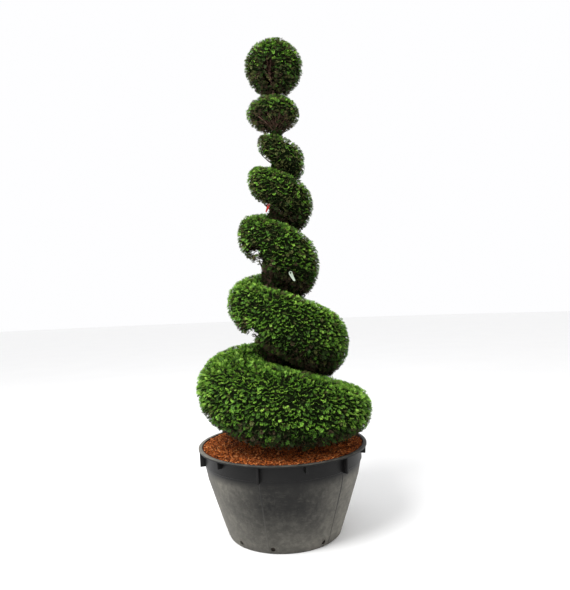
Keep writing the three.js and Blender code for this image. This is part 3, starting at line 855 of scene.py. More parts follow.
def spray_kind(random, size):
    """One spray at the origin along +Y, its face to +Z: needle points, faces and tone steps, with painted
    shade on the needles near its foot.
    """
    points, faces, steps = [], [], []
    valley = random.normal(14, 11)
    for i in range(NEEDLES):
        share = (i // 2) / (NEEDLES // 2)
        side = 1 if i % 2 else -1
        last = i == NEEDLES - 1
        foot = np.array([0.0, size.spray * (0.34 + 0.5 * share), 0.0])
        spread_angle = math.radians(78 - 30 * share + random.normal(0, 8))
        lift = math.radians(random.normal(valley, 12))
        if last:
            spread_angle = math.radians(random.normal(0, 9))
        sideways = math.sin(spread_angle) * np.array([side * math.cos(lift), 0, math.sin(lift)])
        heading = sideways + np.array([0, math.cos(spread_angle), 0])
        length = size.needle * (1.0 - 0.35 * share**3) * random.uniform(0.85, 1.1)
        flat = unit(np.cross(heading, (0.35 * random.normal(), 0.3 * random.normal(), 1.0)))
        fold = unit(np.cross(flat, heading)) * size.width * 0.16
        waist = foot + 0.55 * length * heading
        half = 0.5 * size.width * flat
        points += [foot, waist + half - fold, foot + length * heading, waist - half - fold]
        start = 4 * i
        faces += [(start, start + 1, start + 2), (start, start + 2, start + 3)]
        # Needles near the foot are a tone darker, as painted shade; the tip needle is a tone lighter.
        step = 1 if share < 0.3 else -1 if last else 0
        steps += [step, step]
    return np.array(points), np.array(faces), np.array(steps)


def turned_about(vectors, axes, angles):
    """Vectors turned about unit axes at right angles to them."""
    sides = np.cross(axes, vectors)
    return vectors * np.cos(angles)[:, None] + sides * np.sin(angles)[:, None]


def spray_frames(mass, random, spacing, sunk, lean):
    """Sprays about the clipped surface's own direction, flat like the layers of a bough."""
    s, u = spread(mass, spacing, random)
    normal = normals(mass, s, u)
    count = len(s)
    sway = 2 * np.pi * random.random(count)
    light = np.stack([0.5 * np.cos(sway), 0.5 * np.sin(sway), np.ones(count)], -1)
    rise = unit(light - normal * (light * normal).sum(-1, keepdims=True))
    outwards = normal.copy()
    outwards[:, 2] += 1.1 * np.maximum(-normal[:, 2], 0)
    angle = random.normal(*lean, count)[:, None]
    heading = unit(unit(outwards) * np.cos(angle) + rise * np.sin(angle))
    across = turned_about(unit(np.cross(heading, rise)), heading, random.normal(0, ROLL, count))
    upright = (np.cross(across, heading) * rise).sum(-1) > 0
    across = np.where(upright[:, None], across, -across)
    surface = mass.surface(s, u, 0.0)
    wave = 0.5 + 0.5 * lumps(surface, TUFT_SIZE, 3.1)
    depth = sunk + TUFT_DEPTH * (0.5 + mass.growth.tuft * (wave - 0.5)) + RAGGED * random.random(count)
    depth -= np.where(random.random(count) < STRAYS, STRAY_LENGTH, 0.0)
    return {
        "tip": surface - normal * depth[:, None],
        "heading": heading,
        "across": across,
        "length": random.uniform(0.8, 1.15, count),
        "normal": normal,
        "wave": wave,
    }


def keep(sprays, kept):
    return {key: value[kept] for key, value in sprays.items()}


def both(first, second):
    """Two sets of sprays as one."""
    return {key: np.concatenate([first[key], second[key]]) for key in first}


def spray_tones(mass, sprays, random, balls, shift):
    """A tone for each spray, as painted light and shade: light where it sees the sky, dark where it
    doesn't, and brown there too, partly old needles and partly painted shade.
    """
    count = len(sprays["tip"])
    shade = shade_over(sprays["tip"] + 0.01 * sprays["normal"], balls)
    # Painted light and shade: lighter in the open, darker where the masses hide the sky, darker still in
    # deep shade and on undersides.
    tone = OPEN_TONE + SHADE_TONE * shade + DEEP_TONE * np.maximum(shade - DEEP_FROM, 0)
    under = -sprays["normal"][:, 2]
    tone += UNDER_TONE * np.maximum(under - UNDER_FROM, 0)
    tone += mass.growth.tone + shift
    # Painted light on tufts that stand out, painted shade on the sprays sunk between them.
    tone += mass.growth.tuft * (sprays["wave"] - 0.5)
    tone += random.normal(0, TONE_SPREAD, count)
    tone += TONE_DRIFT * lumps(sprays["tip"], DRIFT_SIZE, 8.7)
    tone = np.clip(np.round(tone), 0, BROWN - 1).astype(int)
    # Brown share: old needles, raised as painted shade where the sky is hidden and on undersides, and at
    # the brown places.
    old_and_shaded_share = 0.9 * np.maximum(shade - 0.5, 0) + 0.35 * np.maximum(under - 0.3, 0)
    for middle, radius in BROWN_PLACES:
        away = np.linalg.norm(sprays["tip"] - middle, axis=-1) / radius
        old_and_shaded_share = np.maximum(old_and_shaded_share, 0.55 * np.clip(1.2 - away, 0, 1))
    olive = (random.random(count) < mass.growth.olive) & (tone > 0)
    return np.where(random.random(count) < old_and_shaded_share, BROWN, np.where(olive, OLIVE, tone))


def lay_sprays(sprays, kinds, random):
    """Points, triangles and tones of all needles of the sprays."""
    points, faces, colours, start = [], [], [], 0
    which = random.integers(0, len(kinds), len(sprays["tone"]))
    face_out = np.cross(sprays["across"], sprays["heading"])
    root = sprays["tip"] - sprays["heading"] * (sprays["length"] * settings().needles.spray)[:, None]
    for k, (shape, triangles, steps) in enumerate(kinds):
        mine = which == k
        scale = sprays["length"][mine][:, None, None]
        axes = np.stack([sprays["across"][mine], sprays["heading"][mine], face_out[mine]], 1)
        placed = root[mine][:, None] + scale * (shape @ axes)
        offsets = start + np.arange(mine.sum())[:, None, None] * len(shape)
        points.append(placed.reshape(-1, 3))
        faces.append((triangles + offsets).reshape(-1, 3))
        tone = sprays["tone"][mine][:, None]
        stepped = np.clip(tone + steps, 0, BROWN - 1)
        colours.append(np.where(tone >= BROWN, tone, stepped).ravel())
        start += placed.shape[0] * placed.shape[1]
    return np.concatenate(points), np.concatenate(faces), np.concatenate(colours)


def stems(sprays, share):
    """The shoot of each spray, from deep in the mass to near its tip."""
    length = (sprays["length"] * settings().needles.spray)[:, None]
    foot = sprays["tip"] - sprays["heading"] * length * share
    foot -= sprays["normal"] * 0.012
    tip = sprays["tip"] - sprays["heading"] * 0.2 * length
    paths = np.stack([foot, tip], 1)
    radii = np.tile((0.0014, 0.0007), (len(foot), 1))
    return tubes(paths, radii, 3)


def branchlets(mass, random):
    """Twigs that fan out from the middle of a mass to just below its surface."""
    s, u = spread(mass, 0.085, random)
    tip = mass.surface(s, u, 0.024)
    hub = mass.middle(s)
    trunk, _ = trunk_at(hub[:, 2])
    inner = hub + 0.5 * (trunk - hub) - (0, 0, 0.02)
    knee = (inner + tip) / 2 + random.normal(0, 0.012, tip.shape) - (0, 0, 0.02)
    return crooked(random, (inner, knee, tip), 6, 0.003, (0.0042, 0.0012), (0.7, 1.3), 4)


def limb_tube(path, radius, sunk):
    """A stem that goes on from a bough's tip into its mass."""
    heading = unit(path[-1] - path[-2])
    onwards = path[-1] + heading * np.linspace(0, sunk, 5)[:, None]
    radii = np.linspace(BOUGH.taper, 0.3, 5)[None] * radius
    return tubes(onwards[None], radii, 8)


def hook_twig(label):
    """The bare twig that a label hangs on, from inside the mass through the label's eye."""
    heading = np.array(label["twig"])
    path = np.array(label["eye"]) + heading * np.linspace(-0.11, 0.008, 6)[:, None]
    return tubes(path[None], np.linspace(1.0, 0.75, 6)[None] * HOOK, 8)


def core_piece(mass, size):
    """The dark inside of a mass, a rough sheet of painted shade, which open_core cuts open at its thin
    places.
    """
    ball = isinstance(mass, Ball)
    rings = 48 if ball else max(16, int(44 * (mass.end - mass.start)))
    sides = 40 if ball else 56

    def place(across, lengthwise):
        if ball:
            s, u = 2 * across, np.pi * (lengthwise - 0.5)
        else:
            row = np.round(lengthwise * rings).astype(int)
            s = np.clip((row - 1) / (rings - 2), 0.002, 0.998)
            u = 2 * np.pi * across
        points = mass.surface(s, u, size.core)
        points += normals(mass, s, u) * (0.008 * lumps(points, 0.03, 5.5))[:, None]
        if not ball:
            ends = (row == 0) | (row == rings)
            points[ends] = mass.middle(s[ends])
        return points

    return shaped_grid(f"{mass.name}_shade", sides, rings, place)


class TOPIARY_OT_foliage(bpy.types.Operator):
    """Grow the clipped masses: dark cores of painted shade, twigs and sprays of needles"""

    bl_idname = "topiary.foliage"
    bl_label = "Foliage"
    veil = {"ball_lower": 0.45, "ball_top": 0.2}

    def execute(self, context):
        self.size = settings().needles
        self.random = np.random.default_rng(self.size.seed)
        self.materials = [make_needle(name, colour) for name, colour in NEEDLE_TONES]
        self.twig_bark = make_twig_bark()
        self.kinds = [spray_kind(self.random, self.size) for _ in range(SPRAY_KINDS)]
        masses = grown_masses()
        self.balls = [mass for mass in masses if isinstance(mass, Ball)]
        self.limbs = [bough for mass in masses for bough in mass.boughs]
        shade = make_shade()
        for mass in masses:
            self.grow(mass)
            core = core_piece(mass, self.size)
            open_core(core, mass)
            finish_piece(core, shade, "foliage", mass.name)
        self.clothe_trunk()
        return {"FINISHED"}

    def finish_sprays(self, name, sprays, *nodes):
        arrays = lay_sprays(sprays, self.kinds, self.random)
        finish_piece(joined_mesh(f"{name}_needles", *arrays), self.materials, "foliage", *nodes)

    def finish_twigs(self, name, tubes_of):
        finish_piece(joined_mesh(f"{name}_twigs", *tubes_of), self.twig_bark, "bark")

    def grow(self, mass):
        """The needles and twigs of one mass."""
        scale = mass.growth.scale
        layers = []
        for spacing, sunk, lean, shift in LAYERS:
            layer = spray_frames(mass, self.random, spacing * scale * self.size.spacing, sunk, lean)
            layer["tone"] = spray_tones(mass, layer, self.random, self.balls, shift)
            layers.append(layer)
        sprays = both(*layers)
        sprays["length"] *= scale
        sprays = keep(sprays, self.fitting(mass, sprays))
        if isinstance(mass, Ball):
            tones = sprays["tone"]
            # Painted shade: sprays in the pocket are at least the deep tone.
            shaded = mass.in_pocket(sprays["tip"], 1.1)
            sprays["tone"] = np.where(shaded, np.maximum(tones, BROWN - 2), tones)
            sprays = both(sprays, self.pocket_lining(mass))
        self.finish_sprays(mass.name, sprays, mass.name)
        groups = [stems(sprays, 1.1), branchlets(mass, self.random)]
        groups += [limb_tube(path, radius, 0.06) for _, path, radius in mass.boughs]
        groups += [hook_twig(label) for label in LABELS.values() if label["mass"] == mass.name]
        self.finish_twigs(mass.name, stacked(groups))

    def fitting(self, mass, sprays):
        """Which sprays grow from inside the mass, clear of limbs, and thinned where the sky shows."""
        length = (sprays["length"] * self.size.spray)[:, None]
        root = sprays["tip"] - sprays["heading"] * length
        waist = sprays["tip"] - sprays["heading"] * 0.5 * length
        kept = mass.level(root) < 1.0
        kept &= ~near_limbs(sprays["tip"], self.limbs, 0.006)
        kept &= ~near_limbs(waist, self.limbs, 0.004)
        thin = in_window(sprays["tip"]) | in_window(waist)
        kept &= ~thin | (self.random.random(len(thin)) < 0.12)
        if isinstance(mass, Ball):
            bare = mass.in_pocket(sprays["tip"]) | mass.in_pocket(waist, 0.8)
            kept &= ~bare | (self.random.random(len(bare)) < self.veil[mass.name])
        return kept

    def pocket_lining(self, ball):
        """Dark sprays on the wall of a ball's pocket, pointing into it: old needles and painted shade."""
        hollow = Ball("hollow", ball.pocket, ball.pocket_radii, ball.pocket, ball.pocket_radii)
        sprays = spray_frames(hollow, self.random, 0.8 * self.size.spacing, -0.006, (0.0, 0.4))
        sprays["heading"] = -sprays["heading"]
        sprays["normal"] = -sprays["normal"]
        kept = ball.level(sprays["tip"]) < 0.93
        kept &= ~near_limbs(sprays["tip"], self.limbs, 0.010)
        kept &= sprays["tip"][:, 1] > ball.pocket[1] - 0.3 * ball.pocket_radii[1]
        sprays = keep(sprays, kept)
        sprays["tone"] = self.random.choice(OLD_AND_SHADED_TONES, kept.sum(), p=POCKET_SHARES)
        return sprays

    def clothe_trunk(self):
        """Old dark sprays that hang on round the trunk between the turns, their dark and brown tones partly
        old needles and partly painted shade.
        """
        random, count = self.random, 5200
        middle, radius = trunk_at(random.uniform(0.80, 3.01, count))
        angle = random.uniform(0, 2 * np.pi, count)
        zero = np.zeros(count)
        out = np.stack([np.cos(angle), np.sin(angle), zero], -1)
        heading = unit(out + np.stack([zero, zero, random.uniform(-0.1, 1.0, count)], -1))
        room = np.clip((3.25 - middle[:, 2]) / 1.5, 0.2, 1.0)
        reach = radius + 0.022 + room * random.random(count) * (0.055 + 0.040 * np.cos(angle))
        tip = middle + out * reach[:, None]
        level = unit(np.cross(heading, (0, 0, 1.0)))
        sprays = {
            "tip": tip,
            "heading": heading,
            "across": turned_about(level, heading, random.normal(0, 0.7, count)),
            "length": random.uniform(0.8, 1.2, count),
            "normal": out,
            "wave": random.random(count),
        }
        bare = lumps(tip, 0.12, 4.0) > 0.42
        bare |= (tip[:, 1] > middle[:, 1] + 0.02) & (random.random(count) < 0.6)
        kept = ~inside_plant(tip, self.balls) & ~bare
        sprays = keep(sprays, kept)
        sprays["tone"] = random.choice(OLD_AND_SHADED_TONES, kept.sum(), p=TRUNK_SHARES)
        self.finish_sprays("trunk", sprays)
        self.finish_twigs("trunk", stems(sprays, 1.3))


def open_core(core, mass):
    """Takes the faces of a core, the active piece, away where the mass is thin and in a ball's pocket."""
    mesh = core.data
    middles = np.empty(3 * len(mesh.polygons))
    mesh.polygons.foreach_get("center", middles)
    middles = middles.reshape(-1, 3)
    gone = in_window(middles, 1.15)
    if isinstance(mass, Ball):
        gone |= mass.in_pocket(middles)
    if not gone.any():
        return
    with editing("DESELECT"):
        pass  # Leaves no vertex or edge selected, so only the faces chosen below go.
    mesh.polygons.foreach_set("select", gone)
    bpy.ops.object.mode_set(mode="EDIT")
    bpy.ops.mesh.delete(type="FACE")
    bpy.ops.object.mode_set(mode="OBJECT")


def make_shade():
    """The dark inside of the foliage: dead needles and twigs, darkened as painted shade."""
    colours = (0.003, 0.006, 0.002), (0.009, 0.012, 0.005)
    return two_toned("shade", 0.9, 0.0, (55.0, 3.0, 0.38, 0.62), colours, (160.0, 2.0, 0.006))


# Bark


def make_bark():
    """Scaly pinkish-brown bark: long flakes with dark furrows between them."""
    size = settings().bark
    finish = Finish("bark", 0.8)
    stretched = finish.stretched((1.0, 1.0, 0.22))
    plates = finish.ranged(finish.cracks(95.0, stretched), 0.02, 0.16)
    mottled = finish.patches(60.0, 4.0, 0.35, 0.68, stretched)
    young = finish.ranged(finish.axis("Z"), 2.9, 3.2)
    tint = finish.mix(mottled, scaled(size.pale, 0.55), size.pale)
    tint = finish.mix(young, tint, scaled(size.pale, 1.1))
    finish.colour(finish.mix(plates, size.dark, tint))
    finish.roughness(finish.ranged(mottled, 0.0, 1.0, 0.9, 0.7))
    finish.bump(plates + 0.4 * finish.grain(240.0, 3.0, stretched), 0.0018)
    return finish.material


def make_twig_bark():
    """Dull brown bark of thin twigs."""
    size = settings().bark
    colours = size.twig, scaled(size.pale, 0.2)
    return two_toned("twig", 0.75, 0.1, (30.0, 2.0, 0.4, 0.6), colours, (300.0, 2.0, 0.0006))


def make_shoot_bark():
    """Smooth reddish bark of the bare shoots in the balls."""
    size = settings().bark
    colours = size.dark, scaled(size.pale, 0.75)
    return two_toned("shoot_bark", 0.7, 0.15, (45.0, 3.0, 0.35, 0.65), colours, (300.0, 2.0, 0.0004))


def bark_limb(name, centres, radii, sides, relief):
    """A limb with the relief of its bark, closed at both ends, its radii by row and angle."""
    tangents = unit(np.gradient(centres, axis=0))
    helper = np.where(np.abs(tangents[:, 2:]) < 0.9, (0.0, 0.0, 1.0), (0.0, 1.0, 0.0))
    first = unit(np.cross(tangents, helper))
    second = np.cross(tangents, first)
    rings = len(centres) + 1

    def place(across, lengthwise):
        row = np.round(lengthwise * rings).astype(int)
        i = np.clip(row - 1, 0, len(centres) - 1)
        angle = 2 * np.pi * across
        out = np.cos(angle)[:, None] * first[i] + np.sin(angle)[:, None] * second[i]
        radius = radii(i, angle)
        rough = centres[i] * (1, 1, 0.3) + out * radius[:, None]
        furrows = 1 - np.abs(lumps(rough, 0.012, 1.3))
        swelling = lumps(centres[i] + out * radius[:, None], 0.05, 6.1)
        radius = radius * (1 + relief * (furrows - 0.75) + 0.7 * relief * swelling)
        points = centres[i] + out * radius[:, None]
        ends = (row == 0) | (row == rings)
        points[ends] = centres[i[ends]]
        return points

    return shaped_grid(name, sides, rings, place)


class TOPIARY_OT_limbs(bpy.types.Operator):
    """Model the trunk and the boughs with the relief of their bark"""

    bl_idname = "topiary.limbs"
    bl_label = "Trunk and boughs"

    def execute(self, context):
        bark, young = make_bark(), make_shoot_bark()
        random = np.random.default_rng(5)
        relief = settings().bark.relief
        rows = along(TRUNK, np.linspace(0, len(TRUNK) - 1, 441))
        foot = TRUNK[0, 2]

        def trunk_radius(i, angle):
            flare = FLARE.reach * np.exp((foot - rows[i, 2]) / FLARE.height)
            lobes = 1 + FLARE.depth * np.cos(FLARE.lobes * angle)
            return rows[i, 3] + flare * lobes

        rows[:, 3] *= np.interp(rows[:, 2], (3.0, 3.35), (1.0, 0.68))
        trunk = bark_limb("trunk_bark", rows[:, :3], trunk_radius, 56, relief)
        finish_piece(trunk, bark, "bark", "trunk")
        for mass in grown_masses():
            for name, path, radius in mass.boughs:
                fine = resampled(path, 60)
                taper = np.linspace(1.0, BOUGH.taper, len(fine)) * radius
                taper *= 0.75 if isinstance(mass, Ball) else 1.0
                limb = bark_limb(f"{name}_bark", fine, lambda i, angle, r=taper: r[i], 20, relief)
                finish_piece(limb, bark, "bark", name)
            if isinstance(mass, Ball):
                shoots = joined_mesh(f"{mass.name}_shoots", *pocket_shoots(mass, random))
                finish_piece(shoots, young, "bark")
        return {"FINISHED"}


def pocket_shoots(ball, random):
    """Thin bare shoots that fan out from the trunk in a ball's pocket."""
    count, lowest, highest = BALLS[ball.name]["shoots"]
    foot, _ = trunk_at(ball.pocket[2] + random.uniform(lowest, highest, count) * ball.pocket_radii[2])
    turn = np.linspace(-1.4, 1.4, count) + random.normal(0, 0.12, count)
    to = unit(np.stack([np.sin(turn), random.uniform(-0.3, 0.5, count), np.cos(turn)], -1))
    tip = ball.pocket + 1.1 * to * ball.pocket_radii
    knee = (foot + tip) / 2 + (0, 0, 0.15) * np.linalg.norm(tip - foot, axis=-1)[:, None]
    return crooked(random, (foot, knee, tip), 8, 0.002, (0.0030, 0.0013), (0.7, 1.2), 6)


def resampled(path, count):
    """A path with more points."""
    f = np.linspace(0, len(path) - 1, count)
    return np.stack([np.interp(f, np.arange(len(path)), path[:, k]) for k in range(3)], -1)


# Mulch


def make_chip(name, colour):
    """Shredded bark: streaked along and rough."""
    colours = scaled(colour, 0.5), scaled(colour, 1.25)
    return two_toned(name, 0.85, 0.1, (140.0, 3.0, 0.3, 0.7), colours, (420.0, 2.0, 0.0008))


def bed_height(x, y):
    """Height of the mulch, a little proud in the middle and uneven all over."""
    out = np.minimum(np.hypot(x, y) / BED.radius, 1)
    base = BED.seat + (BED.rim - BED.seat) * np.clip(out - 0.75, 0, 0.25) * 4
    points = np.stack([x, y, np.zeros_like(x)], -1)
    return base + 0.003 * lumps(points, 0.11, 2.2) + 0.0018 * lumps(points, 0.025, 4.4)


def chip_shapes(random, count, length, slender):
    """Flat tapering flakes at the origin: six points each."""
    half = 0.5 * length * random.uniform(0.45, 1.5, count)
    wide = half * random.uniform(*slender, count)
    thick = wide * random.uniform(0.25, 0.6, count)
    bow = half * random.uniform(-0.25, 0.35, count)
    zero = np.zeros(count)
    return np.stack([
        np.stack([-half, zero, bow], -1),
        np.stack([0.2 * half, -wide, zero], -1),
        np.stack([half, 0.3 * wide, bow], -1),
        np.stack([-0.1 * half, wide, zero], -1),
        np.stack([zero, zero, thick], -1),
        np.stack([zero, zero, -thick], -1),
    ], 1)


CHIP_FACES = np.array([
    *((0, 1, 4), (1, 2, 4), (2, 3, 4), (3, 0, 4)),
    *((1, 0, 5), (2, 1, 5), (3, 2, 5), (0, 3, 5)),
])


def scattered(random, count, length, slender, tilt):
    """Points and triangles of flakes or fibres that lie on the bed."""
    radius = (BED.radius - 0.6 * length) * np.sqrt(random.uniform(0.04, 1.0, count))
    angle = 2 * np.pi * random.random(count)
    x, y = radius * np.cos(angle), radius * np.sin(angle)
    shapes = chip_shapes(random, count, length, slender)
    turn = 2 * np.pi * random.random(count)
    lean = random.normal(0, tilt, count)
    along_it = np.stack([np.cos(turn) * np.cos(lean), np.sin(turn) * np.cos(lean), np.sin(lean)], -1)
    roll = random.normal(0, 0.5, count)[:, None]
    side = unit(np.cross((0, 0, 1.0), along_it))
    up = np.cross(along_it, side)
    side, up = side * np.cos(roll) + up * np.sin(roll), up * np.cos(roll) - side * np.sin(roll)
    axes = np.stack([along_it, side, up], 1)
    lift = random.uniform(-0.001, 0.005, count)
    centre = np.stack([x, y, bed_height(x, y) + lift], -1)
    points = centre[:, None] + shapes @ axes
    out = np.hypot(points[..., 0], points[..., 1]).max(1)
    fits = out < BED.radius - 0.001
    points = points[fits]
    faces = CHIP_FACES + np.arange(len(points))[:, None, None] * 6
    return points.reshape(-1, 3), faces.reshape(-1, 3)


class TOPIARY_OT_mulch(bpy.types.Operator):
    """Lay the bed of shredded bark"""

    bl_idname = "topiary.mulch"
    bl_label = "Mulch"

    def execute(self, context):
        size = settings().mulch
        random = np.random.default_rng(21)
        dark = make_chip("mulch_dark", scaled(size.brown, 0.35))
        kinds = [make_chip(f"mulch_{key}", getattr(size, key)) for key in ("pale", "orange", "brown")]
        kinds.append(dark)
        finish_piece(self.bed(), dark, "bark_mulch", "mulch_bed")
        for name, count, length, slender, tilt, shares in (
            ("mulch_chips", size.chips, size.chip, (0.25, 0.55), 0.28, (0.14, 0.42, 0.32, 0.12)),
            ("mulch_fibres", size.fibres, 2.0 * size.chip, (0.03, 0.07), 0.2, (0.3, 0.4, 0.2, 0.1)),
        ):
            points, faces = scattered(random, count, length, slender, tilt)
            each = len(CHIP_FACES)
            tones = np.repeat(random.choice(len(kinds), len(faces) // each, p=shares), each)
            piece = joined_mesh(name, points, faces, tones)
            finish_piece(piece, kinds, "bark_mulch", "mulch_bed")
        return {"FINISHED"}

    def bed(self):
        rings = 70

        def place(across, lengthwise):
            row = np.round(lengthwise * rings)
            radius = BED.radius * np.clip(row / (rings - 2), 0, 1)
            radius[row == rings - 1] = BED.inner
            angle = 2 * np.pi * across
            x, y = radius * np.cos(angle), radius * np.sin(angle)
            z = bed_height(x, y) - 0.002
            z[row == rings - 1] = BED.foot
            inner = row == rings
            x[inner], y[inner], z[inner] = 0, 0, BED.foot
            return np.stack([x, y, z], -1)

        return shaped_grid("mulch_ground", 180, rings, place)


# Tub


def make_plastic():
    """Charcoal polyethylene, dusty and scuffed on the cone, with painted sheen towards its left and right
    sides and a lip top lighter with dust and painted reflection; cleaner under the lip.
    """
    size = settings().tub
    finish = Finish("tub_plastic", 0.55, 0.13)
    height, across = finish.axis("Z"), finish.axis("X")
    cone = finish.ranged(height, 0.44, 0.50, 1.0, 0.0)
    low = finish.ranged(height, 0.05, 0.31, 1.0, 0.0)
    lip = finish.ranged(height, 0.613, 0.617)
    # Painted sheen: the cone grows lighter towards its left and right sides.
    sides = finish.ranged(across * across, 0.01, 0.20)
    # The lip's top is lighter towards the left.
    left = finish.ranged(across, -0.55, -0.30, 1.0, 0.0)
    clouds = finish.patches(7.0, 5.0, 0.34, 0.66)
    streaks = finish.patches(16.0, 5.0, 0.4, 0.62, finish.stretched((1.0, 1.0, 0.25)))
    scuffs = finish.patches(70.0, 4.0, 0.52, 0.7, finish.stretched((0.25, 0.25, 1.6)))
    spots = finish.ranged(finish.grain(30.0, 7.0, roughness=0.7), 0.42, 0.62)
    patchy = (0.62 + 0.38 * clouds) * (0.70 + 0.30 * spots)
    # Dust caked low on the cone, and painted sheen at its left and right sides.
    caked_dust_and_side_sheen = (0.04 + 0.42 * low + 0.66 * sides) * patchy
    dust_and_sheen = cone * (caked_dust_and_side_sheen + 0.05 * streaks * spots + 0.08 * scuffs * spots) + 0.008 * clouds
    # The lip's top: dust and painted reflection of the sky.
    dirt_and_sheen = dust_and_sheen + lip * (0.10 + 0.22 * streaks + 0.50 * left)
    finish.colour(finish.mix(dirt_and_sheen, size.plastic, size.dust_and_sheen))
    finish.roughness(finish.ranged(dirt_and_sheen, 0.0, 1.0, 0.42, 0.85))
    finish.bump(finish.grain(260.0, 3.0) + 0.6 * finish.grain(35.0, 2.0), 0.0006)
    return finish.material


def make_seam_plastic():
    """The seam's plastic, rubbed clean of dust."""
    size = settings().tub
    finish = Finish("tub_seam_plastic", 0.5, 0.2)
    clean = finish.mix(finish.patches(60.0, 3.0, 0.4, 0.7), size.plastic, scaled(size.plastic, 2))
    dusty = finish.ranged(finish.axis("Z"), 0.08, 0.36, 0.9, 0.1)
    finish.colour(finish.mix(dusty, clean, scaled(size.dust_and_sheen, 0.32)))
    finish.bump(finish.grain(260.0, 3.0), 0.0005)
    return finish.material


def cone_radius(height):
    """Outer radius of the tub's cone."""
    heights = (0.0, TUB.foot_height, TUB.waist_height, TUB.shoulder_height)
    radii = (TUB.base, TUB.foot, TUB.waist, TUB.shoulder)
    return np.interp(height, heights, radii)


class TOPIARY_OT_tub(bpy.types.Operator):
    """Mould the tub: wall, lip, ribs, seams and drain holes"""

    bl_idname = "topiary.tub"
    bl_label = "Tub"

    def execute(self, context):
        size = settings().tub
        shell = self.shell(size)
        self.drill(shell)
        apply_modifier(shell, "BEVEL", width=size.edge, segments=2, angle_limit=math.radians(40))
        tub = join([shell, *self.ribs(), *self.rims()])
        bpy.ops.object.shade_smooth_by_angle(angle=math.radians(32))
        finish_piece(tub, make_plastic(), "tub", "tub")
        seams = join(self.seams(size))
        seams.name = "tub_seams"
        finish_piece(seams, make_seam_plastic(), "tub", "tub")
        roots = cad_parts["root_ball"]
        roots.data.materials.clear()
        roots.data.materials.append(make_roots())
        return {"FINISHED"}

    def shell(self, size):
        wall = TUB.wall
        outside = [(0.03, 0.0), (TUB.base - 0.006, 0.0), (TUB.base + 0.001, 0.006)]
        outside += [(float(cone_radius(z)), z) for z in (TUB.foot_height, 0.30, TUB.waist_height)]
        outside += [(TUB.shoulder, TUB.shoulder_height), (TUB.band, TUB.shoulder_height + 0.004)]
        lip = [
            (TUB.band, TUB.flare_height),
            (TUB.flare, TUB.lip_underside),
            (TUB.lip, TUB.lip_underside),
            (TUB.lip, TUB.height - 0.003),
            (TUB.lip - 0.003, TUB.height),
            (TUB.flare - wall, TUB.height),
        ]
        inside = [
            (TUB.flare - wall, TUB.lip_underside + 0.004),
            (TUB.band - wall, TUB.flare_height + 0.004),
            (TUB.band - wall, TUB.shoulder_height + 0.005),
            (TUB.shoulder - wall, TUB.shoulder_height - 0.003),
            (TUB.waist - wall, TUB.waist_height + 0.002),
            (TUB.foot - wall, TUB.foot_height + 0.003),
            (TUB.base - 0.005, TUB.floor),
            (0.03, TUB.floor),
        ]
        return turned("tub_moulded", outside + lip + inside, size.sides)

    def drill(self, shell):
        """Cuts the drain holes."""
        drills = []
        for angle in DRAIN.angles:
            cylinder = {
                "vertices": 28,
                "radius": DRAIN.radius,
                "depth": 0.07,
                "location": from_front(angle, TUB.base + 0.01, DRAIN.height),
                "rotation": (math.pi / 2, 0, math.radians(angle)),
            }
            drills.append(added(f"drill_{angle}", bpy.ops.mesh.primitive_cylinder_add, **cylinder))
        drill = join(drills)
        apply_modifier(shell, "BOOLEAN", object=drill, operation="DIFFERENCE", solver="EXACT")
        bpy.data.objects.remove(drill)

    def ribs(self):
        ribs = []
        inner = TUB.band - 0.003
        for i in range(RIB.count):
            height = RIB.short if i % 2 else RIB.tall
            angle = RIB.first + 360 / RIB.count * i
            middle = (RIB.reach + inner) / 2
            cube = {
                "size": 1,
                "location": from_front(angle, middle, TUB.lip_underside - height / 2),
                "rotation": (0, 0, math.radians(angle)),
                "scale": (RIB.width, RIB.reach - inner, height),
            }
            rib = added(f"rib_{i}", bpy.ops.mesh.primitive_cube_add, **cube)
            self.shape_rib(rib, angle, inner)
            apply_modifier(rib, "BEVEL", width=0.0018, segments=3)
            ribs.append(rib)
        return ribs

    def shape_rib(self, rib, angle, inner):
        """Draws a rib's lower outer edge in a little, as a moulded gusset's."""
        outwards = Vector(from_front(angle, 1.0))
        for vertex in rib.data.vertices:
            reach = vertex.co.dot(outwards)
            low = vertex.co.z < TUB.lip_underside - 0.01
            if low and reach > inner + 0.01:
                vertex.co -= outwards * 0.004

    def rims(self):
        """A raised ring round each drain hole."""
        rims = []
        slope = math.atan2(TUB.foot - TUB.base, TUB.foot_height)
        for angle in DRAIN.angles:
            ring = {
                "major_radius": DRAIN.radius + 0.003,
                "minor_radius": 0.0026,
                "major_segments": 36,
                "minor_segments": 10,
                "location": from_front(angle, float(cone_radius(DRAIN.height)), DRAIN.height),
                "rotation": (math.pi / 2 + slope, 0, math.radians(angle)),
            }
            rims.append(added(f"rim_{angle}", bpy.ops.mesh.primitive_torus_add, **ring))
        return rims

    def seams(self, size):
        """Fine mould seams down the cone under the tall ribs."""
        seams = []
        for i in range(0, RIB.count, 2):
            middle = math.radians(RIB.first + 360 / RIB.count * i)

            def place(across, lengthwise, middle=middle):
                height = 0.012 + (TUB.shoulder_height - 0.014) * lengthwise
                swell = size.seam * np.sin(np.pi * across)
                radius = cone_radius(height) - 0.0005 + swell
                angle = middle + (across - 0.5) * 0.011 / radius
                return np.stack([radius * np.sin(angle), -radius * np.cos(angle), height], -1)

            seams.append(shaped_grid(f"seam_{i}", 6, 40, place))
        return seams


def make_roots():
    """Moist growing medium full of fine roots."""
    colours = (0.008, 0.006, 0.004), (0.03, 0.02, 0.013)
    return two_toned("root_medium", 0.95, 0.5, (45.0, 5.0, 0.35, 0.65), colours, (120.0, 4.0, 0.003))


# Labels


